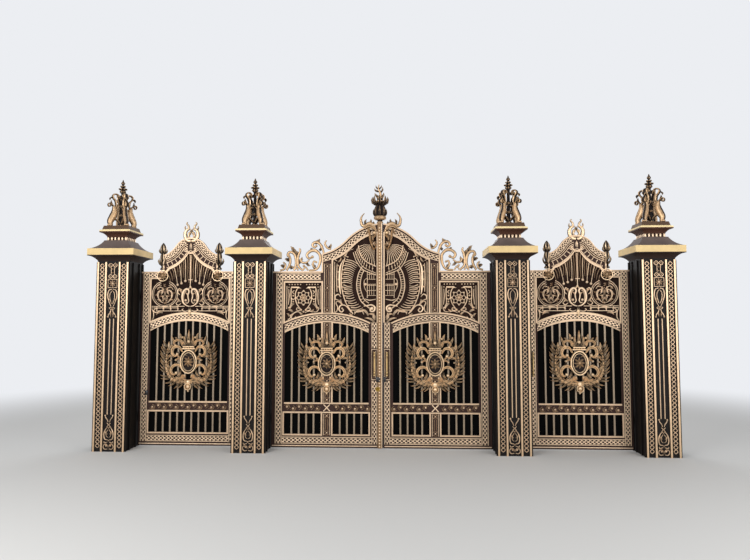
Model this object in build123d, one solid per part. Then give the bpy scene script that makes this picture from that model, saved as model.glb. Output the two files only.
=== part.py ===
from build123d import *
import math
import os

# Ornamental cast aluminium gateway: a double car gate between two side gates, with the four
# square posts that carry them. Millimetres, +X to the right, +Y inwards, +Z up. The origin is
# the centre of the foot of the inner left post.

# Driving sizes of the gateway
POST_WIDTH = 540.0
SHAFT_HEIGHT = 2960.0
MAIN_OPENING = 3500.0
SIDE_OPENING = 1640.0

# Faces that each arc of a scroll and each turn of a small round casting are given
SCROLL_STEPS = 2
TURNED_SIDES = 8
ROUND_SIDES = 12

# Shaft ribs
RIB_WIDTH = 26.0
RIB_PROUD = 18.0
RIB_OUTER = 235.0
RIB_INNER = 109.0
RIB_TOP_DROP = 19.0

# Cap, from the soffit up
SOFFIT_RISE = 77.0
FASCIA_HALF = 369.0
FASCIA_HEIGHT = 111.0
ROOF_INSET = 16.0
ROOF_RISE = 148.0
ROOF_TOP_HALF = 188.0
DENTIL_ROW_HALF = 157.0
DENTIL_HEIGHT = 54.0
DENTIL_WIDTH = 30.0
DENTIL_DEPTH = 22.0
DENTILS_PER_SIDE = 6
FLARE_RISE = 68.0
PLATE_HALF = 247.0
PLATE_HEIGHT = 40.0
PEDESTAL_FOOT_HALF = 220.0
PEDESTAL_TOP_HALF = 200.0
PEDESTAL_HEIGHT = 72.0

# Post finial, drawn in modules of a tenth of the reach of its legs
FINIAL_MODULE = 19.0
FINIAL_HEIGHT = 781.0
LEG_THICK = 54.0
SCROLL_THICK = 30.0
COLUMN_WIDTH = 30.0
SPINDLE_FOOT = 500.0
DISH_RADIUS = 76.0

# Leaf build-up, shared by all leaves
LEAF_THICK = 60.0
BEAD_WIDTH = 24.0
BEAD_PROUD = 14.0
SHEET_THICK = 3.0
SHEET_INSET = 20.0
BAR_WIDTH = 25.0
BAR_RECESS = 14.0
POST_GAP = 15.0
FLOOR_GAP = 22.0
MAIN_SETBACK = 350.0
SIDE_SETBACK = 410.0
BOTTOM_RAIL_TOP = 235.0
LOCK_RAIL_LOW = 561.0
LOCK_RAIL_HIGH = 728.0
ARCH_RISE = 161.0

# Main leaf, heights above the ground and distances from the middle of the gateway
STILE_WIDTH = 199.0
MEETING_CENTRE = 34.0
MEETING_GAP = 17.0
MEETING_STILE = 193.0
MAIN_ARCH_CROWN = 1988.0
MAIN_ARCH_BAND = 164.0
TOP_RAIL_LOW = 2627.0
TOP_RAIL_HIGH = 2811.0
STEP_TOP = 3097.0
MULLION_OUTER = 948.0
MULLION_INNER = 763.0
OGEE_WAIST_X = 560.0
OGEE_WAIST_Z = 3312.0
OGEE_APEX = 3583.0
OGEE_BAND = 160.0
COVER_WIDTH = 74.0
COVER_PROUD = 10.0
MAIN_BARS = 4
ROSETTE_Z = 2400.0
ROSETTE_RING = 185.0
SUN_EDGE = 64.0
SUN_MODULE = 70.0
SUN_RAYS = 9
GRILLE_LINE = 14.0
CROWN_RADIUS = 104.0
CROWN_HEIGHT = 633.0
CREST_MODULE = 71.0
CREST_THICK = 24.0
HORN_PROUD = 26.0

# Side leaf, from its own middle
SIDE_STILE = 165.0
SIDE_ARCH_CROWN = 2015.0
SIDE_ARCH_BAND = 143.0
SIDE_TOP_LOW = 2699.0
SIDE_TOP_HIGH = 2819.0
PEDIMENT_HALF = 455.0
PEDIMENT_FOOT = 3090.0
PEDIMENT_WAIST_X = 250.0
PEDIMENT_WAIST_Z = 3240.0
PEDIMENT_TOP = 3376.0
FAN_FOOT_HALF = 350.0
FAN_FOOT = 2851.0
FAN_TOP = 3110.0
FAN_TOP_HALF = 40.0
FAN_RAYS = 7
SIDE_BARS = 10
BOSS_RADIUS = 100.0
BOSS_Z = 2750.0
PINNACLE_RADIUS = 54.0
PINNACLE_TOP = 3295.0
RING_RADIUS = 212.0
RING_X = 418.0
RING_Z = 2454.0

# Emblem, drawn in modules of a tenth of its width
EMBLEM_MODULE = 93.4
EMBLEM_Z = 1375.0
EMBLEM_THICK = 42.0

# Pulls, latch and lock rose
PULL_X = 98.0
PULL_Z = 1336.0
PULL_LENGTH = 377.0
PULL_RADIUS = 13.0
PULL_PROUD = 46.0
PULL_FOOT_HALF = 10.0
PULL_FOOT_INSET = 40.0
PULL_PLATE_HALF = 24.0
PULL_PLATE_THICK = 6.0
LATCH_Z = 1092.0
LATCH_HEIGHT = 77.0
LATCH_WIDTH = 100.0
LATCH_PROUD = 34.0
KEEPER_WIDTH = 38.0
EDGE_EASE = 1.0
LOCK_Z = 943.0
LOCK_RADIUS = 38.0
LOCK_PROUD = 16.0

# Hinges
PIN_RADIUS = 9.0
PIN_CLEARANCE = 0.05
KNUCKLE_RADIUS = 17.0
KNUCKLE_LEAF = 56.0
KNUCKLE_POST = 36.0
KNUCKLE_GAP = 0.4
LUG_THICK = 24.0
PIN_SIDE_GAP = 38.0
PIN_BACK = 52.0
STRAP_THICK = 10.0
STRAP_LENGTH = 96.0
STRAP_END = 14.0
WEB_HALF = 8.0
POST_PLATE = 8.0
HINGE_HEIGHTS = (480.0, 2420.0)

# Sizes that follow from the driving ones
HALF = POST_WIDTH / 2
CORE_HALF = HALF - RIB_PROUD
GATE_CENTRE_X = MAIN_OPENING / 2 + HALF
SIDE_CENTRE = MAIN_OPENING / 2 + POST_WIDTH + SIDE_OPENING / 2
MAIN_OUTER = MAIN_OPENING / 2 - POST_GAP
SIDE_HALF = SIDE_OPENING / 2 - POST_GAP
MAIN_FRONT = MAIN_SETBACK - HALF
SIDE_FRONT = SIDE_SETBACK - HALF
WINDOW_OUTER = MAIN_OUTER - STILE_WIDTH
SIDE_WINDOW = SIDE_HALF - SIDE_STILE
ARCH_MID = (WINDOW_OUTER + MEETING_STILE) / 2
ARCH_SPAN = (WINDOW_OUTER - MEETING_STILE) / 2
LEFT_MEETING_EDGE = MEETING_CENTRE - MEETING_GAP / 2
RIGHT_MEETING_EDGE = MEETING_CENTRE + MEETING_GAP / 2
CAP_TOP = (
    SHAFT_HEIGHT
    + SOFFIT_RISE
    + FASCIA_HEIGHT
    + ROOF_RISE
    + DENTIL_HEIGHT
    + FLARE_RISE
    + PLATE_HEIGHT
    + PEDESTAL_HEIGHT
)


# Drawing helpers. A leaf is drawn as x across and y up, then stood upright.


def span(x0, x1, y0, y1, z0, z1):
    """A box between two corners."""
    size = Box(x1 - x0, y1 - y0, z1 - z0)
    return Pos((x0 + x1) / 2, (y0 + y1) / 2, (z0 + z1) / 2) * size


def rect(x0, x1, z0, z1):
    """A rectangle drawn in the plane of a leaf."""
    return Pos((x0 + x1) / 2, (z0 + z1) / 2) * Rectangle(x1 - x0, z1 - z0)


def upright(sketch, y0, y1):
    """Extrudes a drawing of a leaf from y0 back to y1."""
    return Pos(0, y1, 0) * (Rot(90, 0, 0) * extrude(sketch, y1 - y0))


def bowed(start, end, bulge):
    """An arc from start to end that bulges to its left by a share of its length."""
    dx = end[0] - start[0]
    dz = end[1] - start[1]
    middle = (
        (start[0] + end[0]) / 2 - dz * bulge,
        (start[1] + end[1]) / 2 + dx * bulge,
    )
    return ThreePointArc(start, middle, end)


def beside(edge, distance):
    """The arc that runs to the right of an arc at a distance from it."""
    points = []
    for share in (0.0, 0.5, 1.0):
        at = edge @ share
        along = edge % share
        points.append((at.X + along.Y * distance, at.Y - along.X * distance))
    return ThreePointArc(*points)


def tangent_chain(points, heading):
    """Arcs through the points, each starting in the direction the last one ended."""
    arcs = []
    for start, end in zip(points, points[1:]):
        arc = TangentArc(start, end, tangent=heading)
        heading = arc % 1
        arcs.append(arc)
    return arcs


def ribbon(points, heading, widths, module=1.0):
    """A scroll of changing width along a chain of arcs, with flat facets along its sides."""
    path = tangent_chain([(x * module, z * module) for x, z in points], heading)
    near = []
    far = []
    for index, arc in enumerate(path):
        first = 0 if index == 0 else 1
        for step in range(first, SCROLL_STEPS + 1):
            share = step / SCROLL_STEPS
            wide = widths[index] + (widths[index + 1] - widths[index]) * share
            at = arc @ share
            along = arc % share
            half = wide * module / 2
            near.append((at.X + along.Y * half, at.Y - along.X * half))
            far.append((at.X - along.Y * half, at.Y + along.X * half))
    return make_face(Polyline(*near, *reversed(far), close=True))


def both_sides(sketch):
    """A drawing together with its mirror image about x = 0."""
    return sketch + mirror(sketch, Plane.YZ)


def spread(low, high, count):
    """Places that divide a width evenly, without its ends."""
    return [low + (high - low) * (i + 1) / (count + 1) for i in range(count)]


def faceted(half, sides):
    """A solid whose sides all have the profile of a half section, mitred at the corners."""
    section = both_sides(half)
    reach = section.bounding_box().size.X
    slab = upright(section, -reach, reach)
    solid = slab
    for index in range(1, sides // 2):
        solid &= Rot(0, 0, 360 / sides * index) * slab
    return solid


def turned(profile, sides=TURNED_SIDES):
    """A faceted turning from points of radius and height."""
    foot = (0, profile[0][1])
    head = (0, profile[-1][1])
    return faceted(make_face(Polyline(foot, *profile, head, close=True)), sides)


# Posts


def post_shaft():
    """A square core with four ribs on each face, and a plain head."""
    section = Rectangle(2 * CORE_HALF, 2 * CORE_HALF)
    for quarter in range(4):
        for place in (-RIB_OUTER, -RIB_INNER, RIB_INNER, RIB_OUTER):
            rib = Pos(place, CORE_HALF) * Rectangle(RIB_WIDTH, 2 * RIB_PROUD)
            section += Rot(0, 0, 90 * quarter) * rib
    ribbed = extrude(section, SHAFT_HEIGHT - RIB_TOP_DROP)
    head = extrude(Rectangle(2 * CORE_HALF, 2 * CORE_HALF), SHAFT_HEIGHT)
    return ribbed + head


def post_cap():
    """Soffit, fascia, hollow roof, dentil row, flared neck, plate and pedestal."""
    z0 = SHAFT_HEIGHT
    z1 = z0 + SOFFIT_RISE
    z2 = z1 + FASCIA_HEIGHT
    z3 = z2 + ROOF_RISE
    z4 = z3 + DENTIL_HEIGHT
    z5 = z4 + FLARE_RISE
    z6 = z5 + PLATE_HEIGHT
    roof_foot = FASCIA_HALF - ROOF_INSET
    neck = DENTIL_ROW_HALF - DENTIL_DEPTH
    lip = PLATE_HALF - ROOF_INSET
    side = [
        Line((0, z0), (CORE_HALF, z0)),
        bowed((CORE_HALF, z0), (roof_foot, z1), 0.1),
        Line((roof_foot, z1), (FASCIA_HALF, z1)),
        Line((FASCIA_HALF, z1), (FASCIA_HALF, z2)),
        Line((FASCIA_HALF, z2), (roof_foot, z2)),
        bowed((roof_foot, z2), (ROOF_TOP_HALF, z3), 0.1),
        Line((ROOF_TOP_HALF, z3), (neck, z3)),
        Line((neck, z3), (neck, z4)),
        Line((neck, z4), (DENTIL_ROW_HALF, z4)),
        bowed((DENTIL_ROW_HALF, z4), (lip, z5), 0.1),
        Line((lip, z5), (PLATE_HALF, z5)),
        Line((PLATE_HALF, z5), (PLATE_HALF, z6)),
        Line((PLATE_HALF, z6), (PEDESTAL_FOOT_HALF, z6)),
        Line((PEDESTAL_FOOT_HALF, z6), (PEDESTAL_TOP_HALF, CAP_TOP)),
        Line((PEDESTAL_TOP_HALF, CAP_TOP), (0, CAP_TOP)),
        Line((0, CAP_TOP), (0, z0)),
    ]
    cap = faceted(make_face(Curve() + side), 4)
    pitch = (2 * DENTIL_ROW_HALF - DENTIL_WIDTH) / (DENTILS_PER_SIDE - 1)
    for quarter in range(4):
        for index in range(DENTILS_PER_SIDE - 1):
            x = -DENTIL_ROW_HALF + index * pitch
            block = span(x, x + DENTIL_WIDTH, -DENTIL_ROW_HALF, -neck, z3, z4)
            cap += Rot(0, 0, 90 * quarter) * block
    return cap


def plate_of(sketch, thick):
    """A drawing given a thickness, centred on the plane of the drawing."""
    return upright(sketch, -thick / 2, thick / 2)


def console():
    """One leg of a post finial with its outer curl and its inner hook."""
    m = FINIAL_MODULE
    leg = ribbon(
        [(10.4, 0), (9.9, 6), (8.0, 15)], (0.15, 1), [2.4, 3.0, 1.9], m
    )
    foot = rect(8.6 * m, 11.6 * m, 0, 0.9 * m)
    above = rect(0, FINIAL_HEIGHT, 0, FINIAL_HEIGHT)
    curl = ribbon(
        [(8.2, 14), (8.9, 19.4), (11.2, 18.6), (10.1, 16.9)], (0.1, 1), [1.6, 1.2, 0.9, 0.6], m
    )
    hook = ribbon(
        [(8.1, 14), (8.4, 21), (8.3, 24.6), (5.9, 27.4), (3.6, 25.6), (4.5, 24.0)],
        (-0.2, 1),
        [1.6, 1.2, 1.3, 1.2, 0.9, 0.5],
        m,
    )
    tie = rect(COLUMN_WIDTH / 2, 4.2 * m, 25.2 * m, 25.9 * m)
    scrolls = plate_of(curl + hook + tie, SCROLL_THICK)
    return plate_of((leg & above) + foot, LEG_THICK) + scrolls


def post_finial():
    """Four consoles on the diagonals around a column and a turned spindle."""
    r = DISH_RADIUS
    z = SPINDLE_FOOT
    spindle = turned(
        [
            (0.42 * r, z),
            (0.42 * r, z + 30),
            (0.22 * r, z + 60),
            (0.68 * r, z + 88),
            (r, z + 116),
            (r, z + 132),
            (0.3 * r, z + 148),
            (0.56 * r, z + 180),
            (0.2 * r, z + 206),
            (0.28 * r, z + 234),
            (0.02 * r, FINIAL_HEIGHT),
        ]
    )
    half = COLUMN_WIDTH / 2
    finial = Rot(0, 0, 45) * span(-half, half, -half, half, 0, SPINDLE_FOOT)
    finial += spindle
    part = console()
    for quarter in range(4):
        finial += Rot(0, 0, 45 + 90 * quarter) * part
    return finial


# Leaf outlines, drawn for the left of the gateway, with the middle of the gateway at x = 0


def under_arch(half_span, crown, rise, centre, foot):
    """The space under a segmental arch, down to a level foot."""
    left = centre - half_span
    right = centre + half_span
    spring = crown - rise
    return make_face(
        Curve()
        + [
            ThreePointArc((left, spring), (centre, crown), (right, spring)),
            Line((right, spring), (right, foot)),
            Line((right, foot), (left, foot)),
            Line((left, foot), (left, spring)),
        ]
    )


def under_ogee(points, heading, inset, reach, foot):
    """The space under an S-shaped edge moved inwards, run out level at both ends."""
    arcs = [beside(arc, inset) for arc in tangent_chain(points, heading)]
    start = arcs[0] @ 0
    end = arcs[-1] @ 1
    left = points[0][0] - reach
    right = points[-1][0] + reach
    return make_face(
        Curve()
        + [
            Line((left, start.Y), start),
            *arcs,
            Line(end, (right, end.Y)),
            Line((right, end.Y), (right, foot)),
            Line((right, foot), (left, foot)),
            Line((left, foot), (left, start.Y)),
        ]
    )


def main_ogee(inset):
    """The space under the ogee top of a left main leaf."""
    points = [
        (-MULLION_OUTER, STEP_TOP),
        (-OGEE_WAIST_X, OGEE_WAIST_Z),
        (0, OGEE_APEX),
    ]
    return under_ogee(points, (1, 0.2), inset, MULLION_OUTER, MAIN_ARCH_CROWN)


def main_outline(meeting_edge, inset=0.0):
    """The outline of a left main leaf that meets the other leaf at meeting_edge."""
    low = FLOOR_GAP + inset
    edge = meeting_edge - inset
    body = rect(-MAIN_OUTER + inset, edge, low, TOP_RAIL_HIGH - inset)
    step = rect(-MULLION_OUTER + inset, edge, MAIN_ARCH_CROWN, 2 * OGEE_APEX)
    return body + (step & main_ogee(inset))


def main_windows(inset=0.0):
    """The six windows of a left main leaf, each made smaller all round by an inset."""
    low = BOTTOM_RAIL_TOP + inset
    below = LOCK_RAIL_LOW - inset
    above = LOCK_RAIL_HIGH + inset
    spring = MAIN_ARCH_CROWN - ARCH_RISE
    crown = MAIN_ARCH_CROWN + MAIN_ARCH_BAND + inset
    arch = under_arch(ARCH_SPAN, MAIN_ARCH_CROWN - inset, ARCH_RISE, -ARCH_MID, low)
    over = under_arch(ARCH_SPAN + BEAD_WIDTH, crown, ARCH_RISE, -ARCH_MID, 0)
    outer = (-WINDOW_OUTER + inset, -MULLION_OUTER - inset)
    inner = (-MULLION_INNER + inset, -MEETING_STILE - inset)
    sky = main_ogee(OGEE_BAND + inset) + rect(*inner, spring, MAIN_ARCH_CROWN + 1)
    sill = rect(-MEETING_STILE - 1, 0, 0, MAIN_ARCH_CROWN + MAIN_ARCH_BAND - ARCH_RISE + inset)
    sun = (-MULLION_INNER + inset, -SUN_EDGE - inset)
    return {
        "foot_outer": rect(*outer, low, below),
        "foot_inner": rect(*inner, low, below),
        "bars_outer": arch & rect(*outer, above, OGEE_APEX),
        "bars_inner": arch & rect(*inner, above, OGEE_APEX),
        "rosette": rect(*outer, spring, TOP_RAIL_LOW - inset) - over,
        "sun": (sky & rect(*sun, spring, OGEE_APEX)) - over - sill,
    }


def framed(outline, windows, wider, rims, cover, front):
    """A leaf frame of two castings, one each side of the backing sheet."""
    plate = outline
    trim = rims
    for name, window in windows.items():
        plate -= window
        trim += wider[name] - window
    trim = (trim & plate) - cover
    middle = front + LEAF_THICK / 2
    face = front + BEAD_PROUD
    ahead = upright(plate, face, middle - SHEET_THICK / 2) + upright(trim, front, face)
    return ahead, behind(ahead, middle)


def behind(solid, middle):
    """The mirror image of a solid on the other side of the backing sheet."""
    return mirror(solid, Plane.XZ.offset(-middle))


def bars_in(window, xs, front):
    """Plain upright bars in a window, in front of the sheet."""
    strips = [rect(x - BAR_WIDTH / 2, x + BAR_WIDTH / 2, 0, OGEE_APEX) & window for x in xs]
    return [grille_in(strip, front) for strip in strips]


def sheet_in(outline, front):
    """The backing sheet of a leaf."""
    middle = front + LEAF_THICK / 2
    return upright(outline, middle - SHEET_THICK / 2, middle + SHEET_THICK / 2)


def grille_in(sketch, front):
    """A grille in front of the backing sheet."""
    middle = front + LEAF_THICK / 2
    return upright(sketch, front + BAR_RECESS, middle - SHEET_THICK / 2)


# Ornament


def ray(cx, cz, angle, r0, r1, width):
    """A straight ray from one radius to another."""
    bar = Pos((r0 + r1) / 2, 0) * Rectangle(r1 - r0, width)
    return Pos(cx, cz) * (Rot(0, 0, angle) * bar)


def ring(cx, cz, radius, width):
    """A flat ring with straight facets, inside a radius."""
    outer = RegularPolygon(radius, ROUND_SIDES)
    return Pos(cx, cz) * (outer - RegularPolygon(radius - width, ROUND_SIDES))


def sun_grille(windows):
    """Rays between two half ovals beside the meeting edge, under a fan of two arcs."""
    line = GRILLE_LINE
    oval = [(-0.3, 5.8), (-6.6, 6.6), (-8.2, 2.6), (-7.9, -1.6), (-5.4, -6.4), (-0.3, -6.0)]
    inner = [(-0.3, 3.1), (-3.2, 4.4), (-4.4, 1.4), (-4.2, -1.4), (-1.6, -4.8), (-0.3, -4.6)]
    arcs = [
        ([(-6.8, 5.8), (-8.1, 2.6), (-7.7, -1.6), (-5.4, -6.2)], (-0.5, -1)),
        ([(-0.6, 2.9), (-3.3, 4.5), (-4.5, 1.4), (-4.3, -1.4), (-1.6, -5.0)], (-1, 0.3)),
        ([(-0.6, 4.3), (-3.2, 6.6), (-3.9, 9.0)], (-1, 0.3)),
    ]
    field = Sketch()
    between = make_face(Polyline(*oval, close=True)) - make_face(Polyline(*inner, close=True))
    for angle in spread(105, 255, SUN_RAYS):
        field += ray(-1, 0, angle, 0, 9, line / SUN_MODULE)
    field = field & between
    for points, heading in arcs:
        field += ribbon(points, heading, [1.5 * line / SUN_MODULE] * len(points))
    middle = (MAIN_ARCH_CROWN + MAIN_ARCH_BAND + OGEE_WAIST_Z) / 2 - SUN_MODULE
    placed = Pos(-SUN_EDGE, middle) * scale(field, SUN_MODULE)
    rim = windows["sun"] - main_windows(line)["sun"]
    tie = rect(-MULLION_INNER, -SUN_EDGE - 8 * SUN_MODULE, middle, middle + 2 * line)
    foot = rect(-SUN_EDGE - 1.6 * SUN_MODULE - line, -SUN_EDGE, middle - 5 * SUN_MODULE, middle)
    tail = foot - rect(-SUN_EDGE - 1.6 * SUN_MODULE, 0, 0, middle)
    return ((placed + tie + tail) & windows["sun"]) + rim


def rosette_grille(windows):
    """A ringed eight-armed flower tied to the sides of a square window."""
    cx = -(WINDOW_OUTER + MULLION_OUTER) / 2
    line = GRILLE_LINE
    flower = Pos(cx, ROSETTE_Z) * RegularPolygon(ROSETTE_RING / 4, TURNED_SIDES)
    for index in range(4):
        flower += ray(cx, ROSETTE_Z, 45 * index, -ROSETTE_RING + 5, ROSETTE_RING - 5, line)
    rim = windows["rosette"] - main_windows(line)["rosette"]
    ties = rect(-WINDOW_OUTER, -MULLION_OUTER, ROSETTE_Z - line / 2, ROSETTE_Z + line / 2)
    ties -= Pos(cx, ROSETTE_Z) * RegularPolygon(ROSETTE_RING - line, ROUND_SIDES)
    return ring(cx, ROSETTE_Z, ROSETTE_RING, line) + flower + rim + ties


def emblem_sketch():
    """An oval cartouche under a plume, between two leafy scrolls, with a pendant."""
    oval = scale(RegularPolygon(1.0, ROUND_SIDES), (1.5, 2.2, 1))
    plume = ribbon([(0, 1.8), (0.05, 5.1)], (0.05, 1), [0.9, 0.3])
    scroll = ribbon(
        [(0.1, -3.3), (3.5, -2.2), (4.3, 1.0), (3.1, 2.9), (2.1, 2.0), (2.8, 1.5)],
        (1, 0.02),
        [0.7, 0.95, 0.75, 0.55, 0.4, 0.25],
    )
    inner = ribbon([(1.2, 1.2), (2.4, 0.2), (2.2, -1.5), (1.2, -1.3)], (1, 0.3), [0.5, 0.6, 0.5, 0.3])
    side_plume = ribbon([(0.2, 1.9), (1.2, 4.2)], (0.1, 1), [0.8, 0.3])
    leaves = ribbon([(3.3, -2.3), (4.7, -2.8)], (1, 0.2), [0.8, 0.2])
    leaves += ribbon([(4.0, -0.9), (4.95, -0.6)], (1, 0.1), [0.8, 0.2])
    leaves += ribbon([(4.1, 1.3), (4.95, 2.3)], (0.4, 1), [0.8, 0.2])
    leaves += ribbon([(3.3, 2.6), (4.2, 4.0)], (0.1, 1), [0.7, 0.2])
    half = scroll + inner + side_plume + leaves
    pendant = Pos(0, -4.8) * RegularPolygon(0.8, TURNED_SIDES)
    stem = rect(-0.3, 0.3, -4.2, 0)
    sketch = oval + plume + both_sides(half) + pendant + stem
    return scale(sketch, EMBLEM_MODULE)


def shoulder_scrolls():
    """The open scrolls over the low shoulder of a main leaf, from the foot of the step."""
    parts = [
        ([(3.6, 0.15), (0.6, 2.3), (1.5, 4.6), (3.5, 3.6), (2.2, 3.0)], (-1, 0.05), [0.3, 0.5, 0.6, 0.5, 0.3]),
        ([(3.4, 3.4), (2.7, 5.1)], (0.2, 1), [0.5, 0.15]),
        ([(-0.2, 4.5), (1.3, 6.4), (2.2, 4.4)], (0.1, 1), [0.4, 0.5, 0.3]),
        ([(0.7, 6.0), (0.4, 7.3)], (0, 1), [0.4, 0.1]),
        ([(4.2, 0.0), (5.4, 2.9), (4.7, 5.2)], (1, 0.2), [0.5, 0.5, 0.15]),
        ([(5.3, 1.4), (3.9, 1.8), (2.9, 2.9)], (-1, -0.1), [0.3, 0.4, 0.3]),
        ([(7.0, 0.0), (6.1, 2.6), (7.2, 4.3), (7.6, 3.4)], (-1, 0.6), [0.4, 0.4, 0.4, 0.2]),
        ([(7.2, 0.1), (7.9, 3.2), (7.1, 5.7)], (0.1, 1), [0.8, 0.7, 0.15]),
        ([(7.6, 0.2), (8.9, 1.3), (9.6, 0.5)], (0.3, 1), [0.5, 0.5, 0.3]),
    ]
    sketch = Sketch()
    for points, heading, widths in parts:
        sketch += ribbon(points, heading, widths)
    foot = rect(-0.1, 9.7, -0.2, 0.2)
    sketch = scale(sketch + foot, CREST_MODULE)
    return Pos(-MULLION_OUTER, TOP_RAIL_HIGH) * mirror(sketch, Plane.YZ)


def horn_scroll():
    """The leafy horn beside the middle of the ogee top, and the scroll that falls from it."""
    parts = [
        ([(-1.0, -0.9), (-2.6, -0.6), (-4.2, 0.8), (-3.6, 2.3)], (-1, 0.7), [0.7, 1.2, 0.8, 0.2]),
        ([(-1.9, -0.4), (-2.2, 0.9)], (-0.1, 1), [0.6, 0.15]),
        ([(-2.6, -0.6), (-1.2, -1.6), (-1.3, -2.5), (-1.9, -2.1)], (1, 0.2), [0.7, 0.7, 0.5, 0.3]),
        ([(-1.2, -2.0), (-1.9, -4.4), (-1.4, -6.0)], (-0.6, -1), [0.5, 0.4, 0.3]),
    ]
    sketch = Sketch()
    for points, heading, widths in parts:
        sketch += ribbon(points, heading, widths)
    return Pos(0, OGEE_APEX) * scale(sketch, CREST_MODULE)


def over_frame(sketch, outline, front, proud):
    """A solid that lies on both faces of a leaf and fills between them outside it."""
    outside = sketch - outline
    on_leaf = sketch & outline
    back = front + LEAF_THICK
    whole = upright(outside, front - proud, back + proud)
    return whole + upright(on_leaf, front - proud, front) + upright(on_leaf, back, back + proud)


def crown_finial(x, y):
    """Neck, ring, bulb, leaf crown and sprig over the middle of the gate."""
    r = CROWN_RADIUS
    h = CROWN_HEIGHT
    profile = [
        (0.42 * r, 0),
        (0.42 * r, 0.1 * h),
        (0.78 * r, 0.13 * h),
        (0.78 * r, 0.18 * h),
        (r, 0.25 * h),
        (r, 0.31 * h),
        (0.52 * r, 0.52 * h),
        (0.62 * r, 0.56 * h),
        (r, 0.69 * h),
        (0.5 * r, 0.72 * h),
        (0.2 * r, 0.8 * h),
        (0.5 * r, 0.92 * h),
        (0.03 * r, h),
    ]
    return Pos(x, y, OGEE_APEX) * turned(profile, ROUND_SIDES)


def pull_handle(x, z, face):
    """A round pull on two feet with back plates."""
    grip = extrude(RegularPolygon(PULL_RADIUS, TURNED_SIDES), PULL_LENGTH)
    bar = Pos(x, face - PULL_PROUD, z - PULL_LENGTH / 2) * grip
    foot = PULL_FOOT_HALF
    plate = PULL_PLATE_HALF
    inset = PULL_FOOT_INSET
    for place in (-1, 1):
        z0 = z + place * (PULL_LENGTH / 2 - inset)
        bar += span(x - foot, x + foot, face - PULL_PROUD, face, z0 - foot, z0 + foot)
        bar += span(x - plate, x + plate, face - PULL_PLATE_THICK, face, z0 - inset, z0 + inset)
    return bar


# Hinges


def post_hinge(pin_x, pin_y, face_x):
    """Plates on the post, each with two lugs and the pin."""
    solids = []
    total = KNUCKLE_LEAF + 2 * KNUCKLE_POST + 2 * KNUCKLE_GAP
    half = LUG_THICK / 2
    y0 = min(RIB_OUTER - RIB_WIDTH, pin_y - half)
    y1 = max(RIB_OUTER + RIB_WIDTH, pin_y + half)
    for z in HINGE_HEIGHTS:
        low = z - total / 2
        high = z + total / 2
        solid = span(face_x, face_x + POST_PLATE, y0, y1, low, high)
        solid += Pos(pin_x, pin_y, z) * Cylinder(PIN_RADIUS, total)
        for z0 in (low, high - KNUCKLE_POST):
            reach = pin_x + KNUCKLE_RADIUS
            solid += span(face_x, reach, pin_y - half, pin_y + half, z0, z0 + KNUCKLE_POST)
        solids.append(solid)
    return solids


def leaf_hinge(pin_x, pin_y, back_y):
    """Straps on the back of a leaf, each with the knuckle that turns on the pin."""
    solids = []
    for z in HINGE_HEIGHTS:
        low = z - KNUCKLE_LEAF / 2
        high = z + KNUCKLE_LEAF / 2
        barrel = extrude(RegularPolygon(KNUCKLE_RADIUS, TURNED_SIDES), KNUCKLE_LEAF)
        solid = Pos(pin_x, pin_y, low) * barrel
        solid += span(pin_x - WEB_HALF, pin_x + WEB_HALF, back_y, pin_y, low, high)
        strap = (pin_x - STRAP_END, pin_x + STRAP_LENGTH, back_y, back_y + STRAP_THICK)
        solid += span(*strap, low, high)
        solid -= Pos(pin_x, pin_y, z) * Cylinder(PIN_RADIUS + PIN_CLEARANCE, 2 * KNUCKLE_LEAF)
        solids.append(solid)
    return solids


# Assembly


def write(name, solids, flipped=False):
    """Writes one node, moved from the middle of the gateway to the origin."""
    flat = []
    for shape in solids:
        if flipped:
            shape = mirror(shape, Plane.YZ)
        flat += list((Pos(GATE_CENTRE_X, 0, 0) * shape).solids())
    export_step(Compound(children=flat), f"parts/{name}.step")


def build_posts(side, flipped):
    """The two posts of one side, each with shaft, cap and finial."""
    inner = MAIN_OPENING / 2 + HALF
    outer = inner + SIDE_OPENING + POST_WIDTH
    for place, x in (("inner", inner), ("outer", outer)):
        write(f"{place}_{side}_post_shaft", [Pos(-x, 0, 0) * post_shaft()], flipped)
        write(f"{place}_{side}_post_cap", [Pos(-x, 0, 0) * post_cap()], flipped)
        finial = Pos(-x, 0, CAP_TOP) * post_finial()
        write(f"{place}_{side}_post_finial", [finial], flipped)


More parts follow.
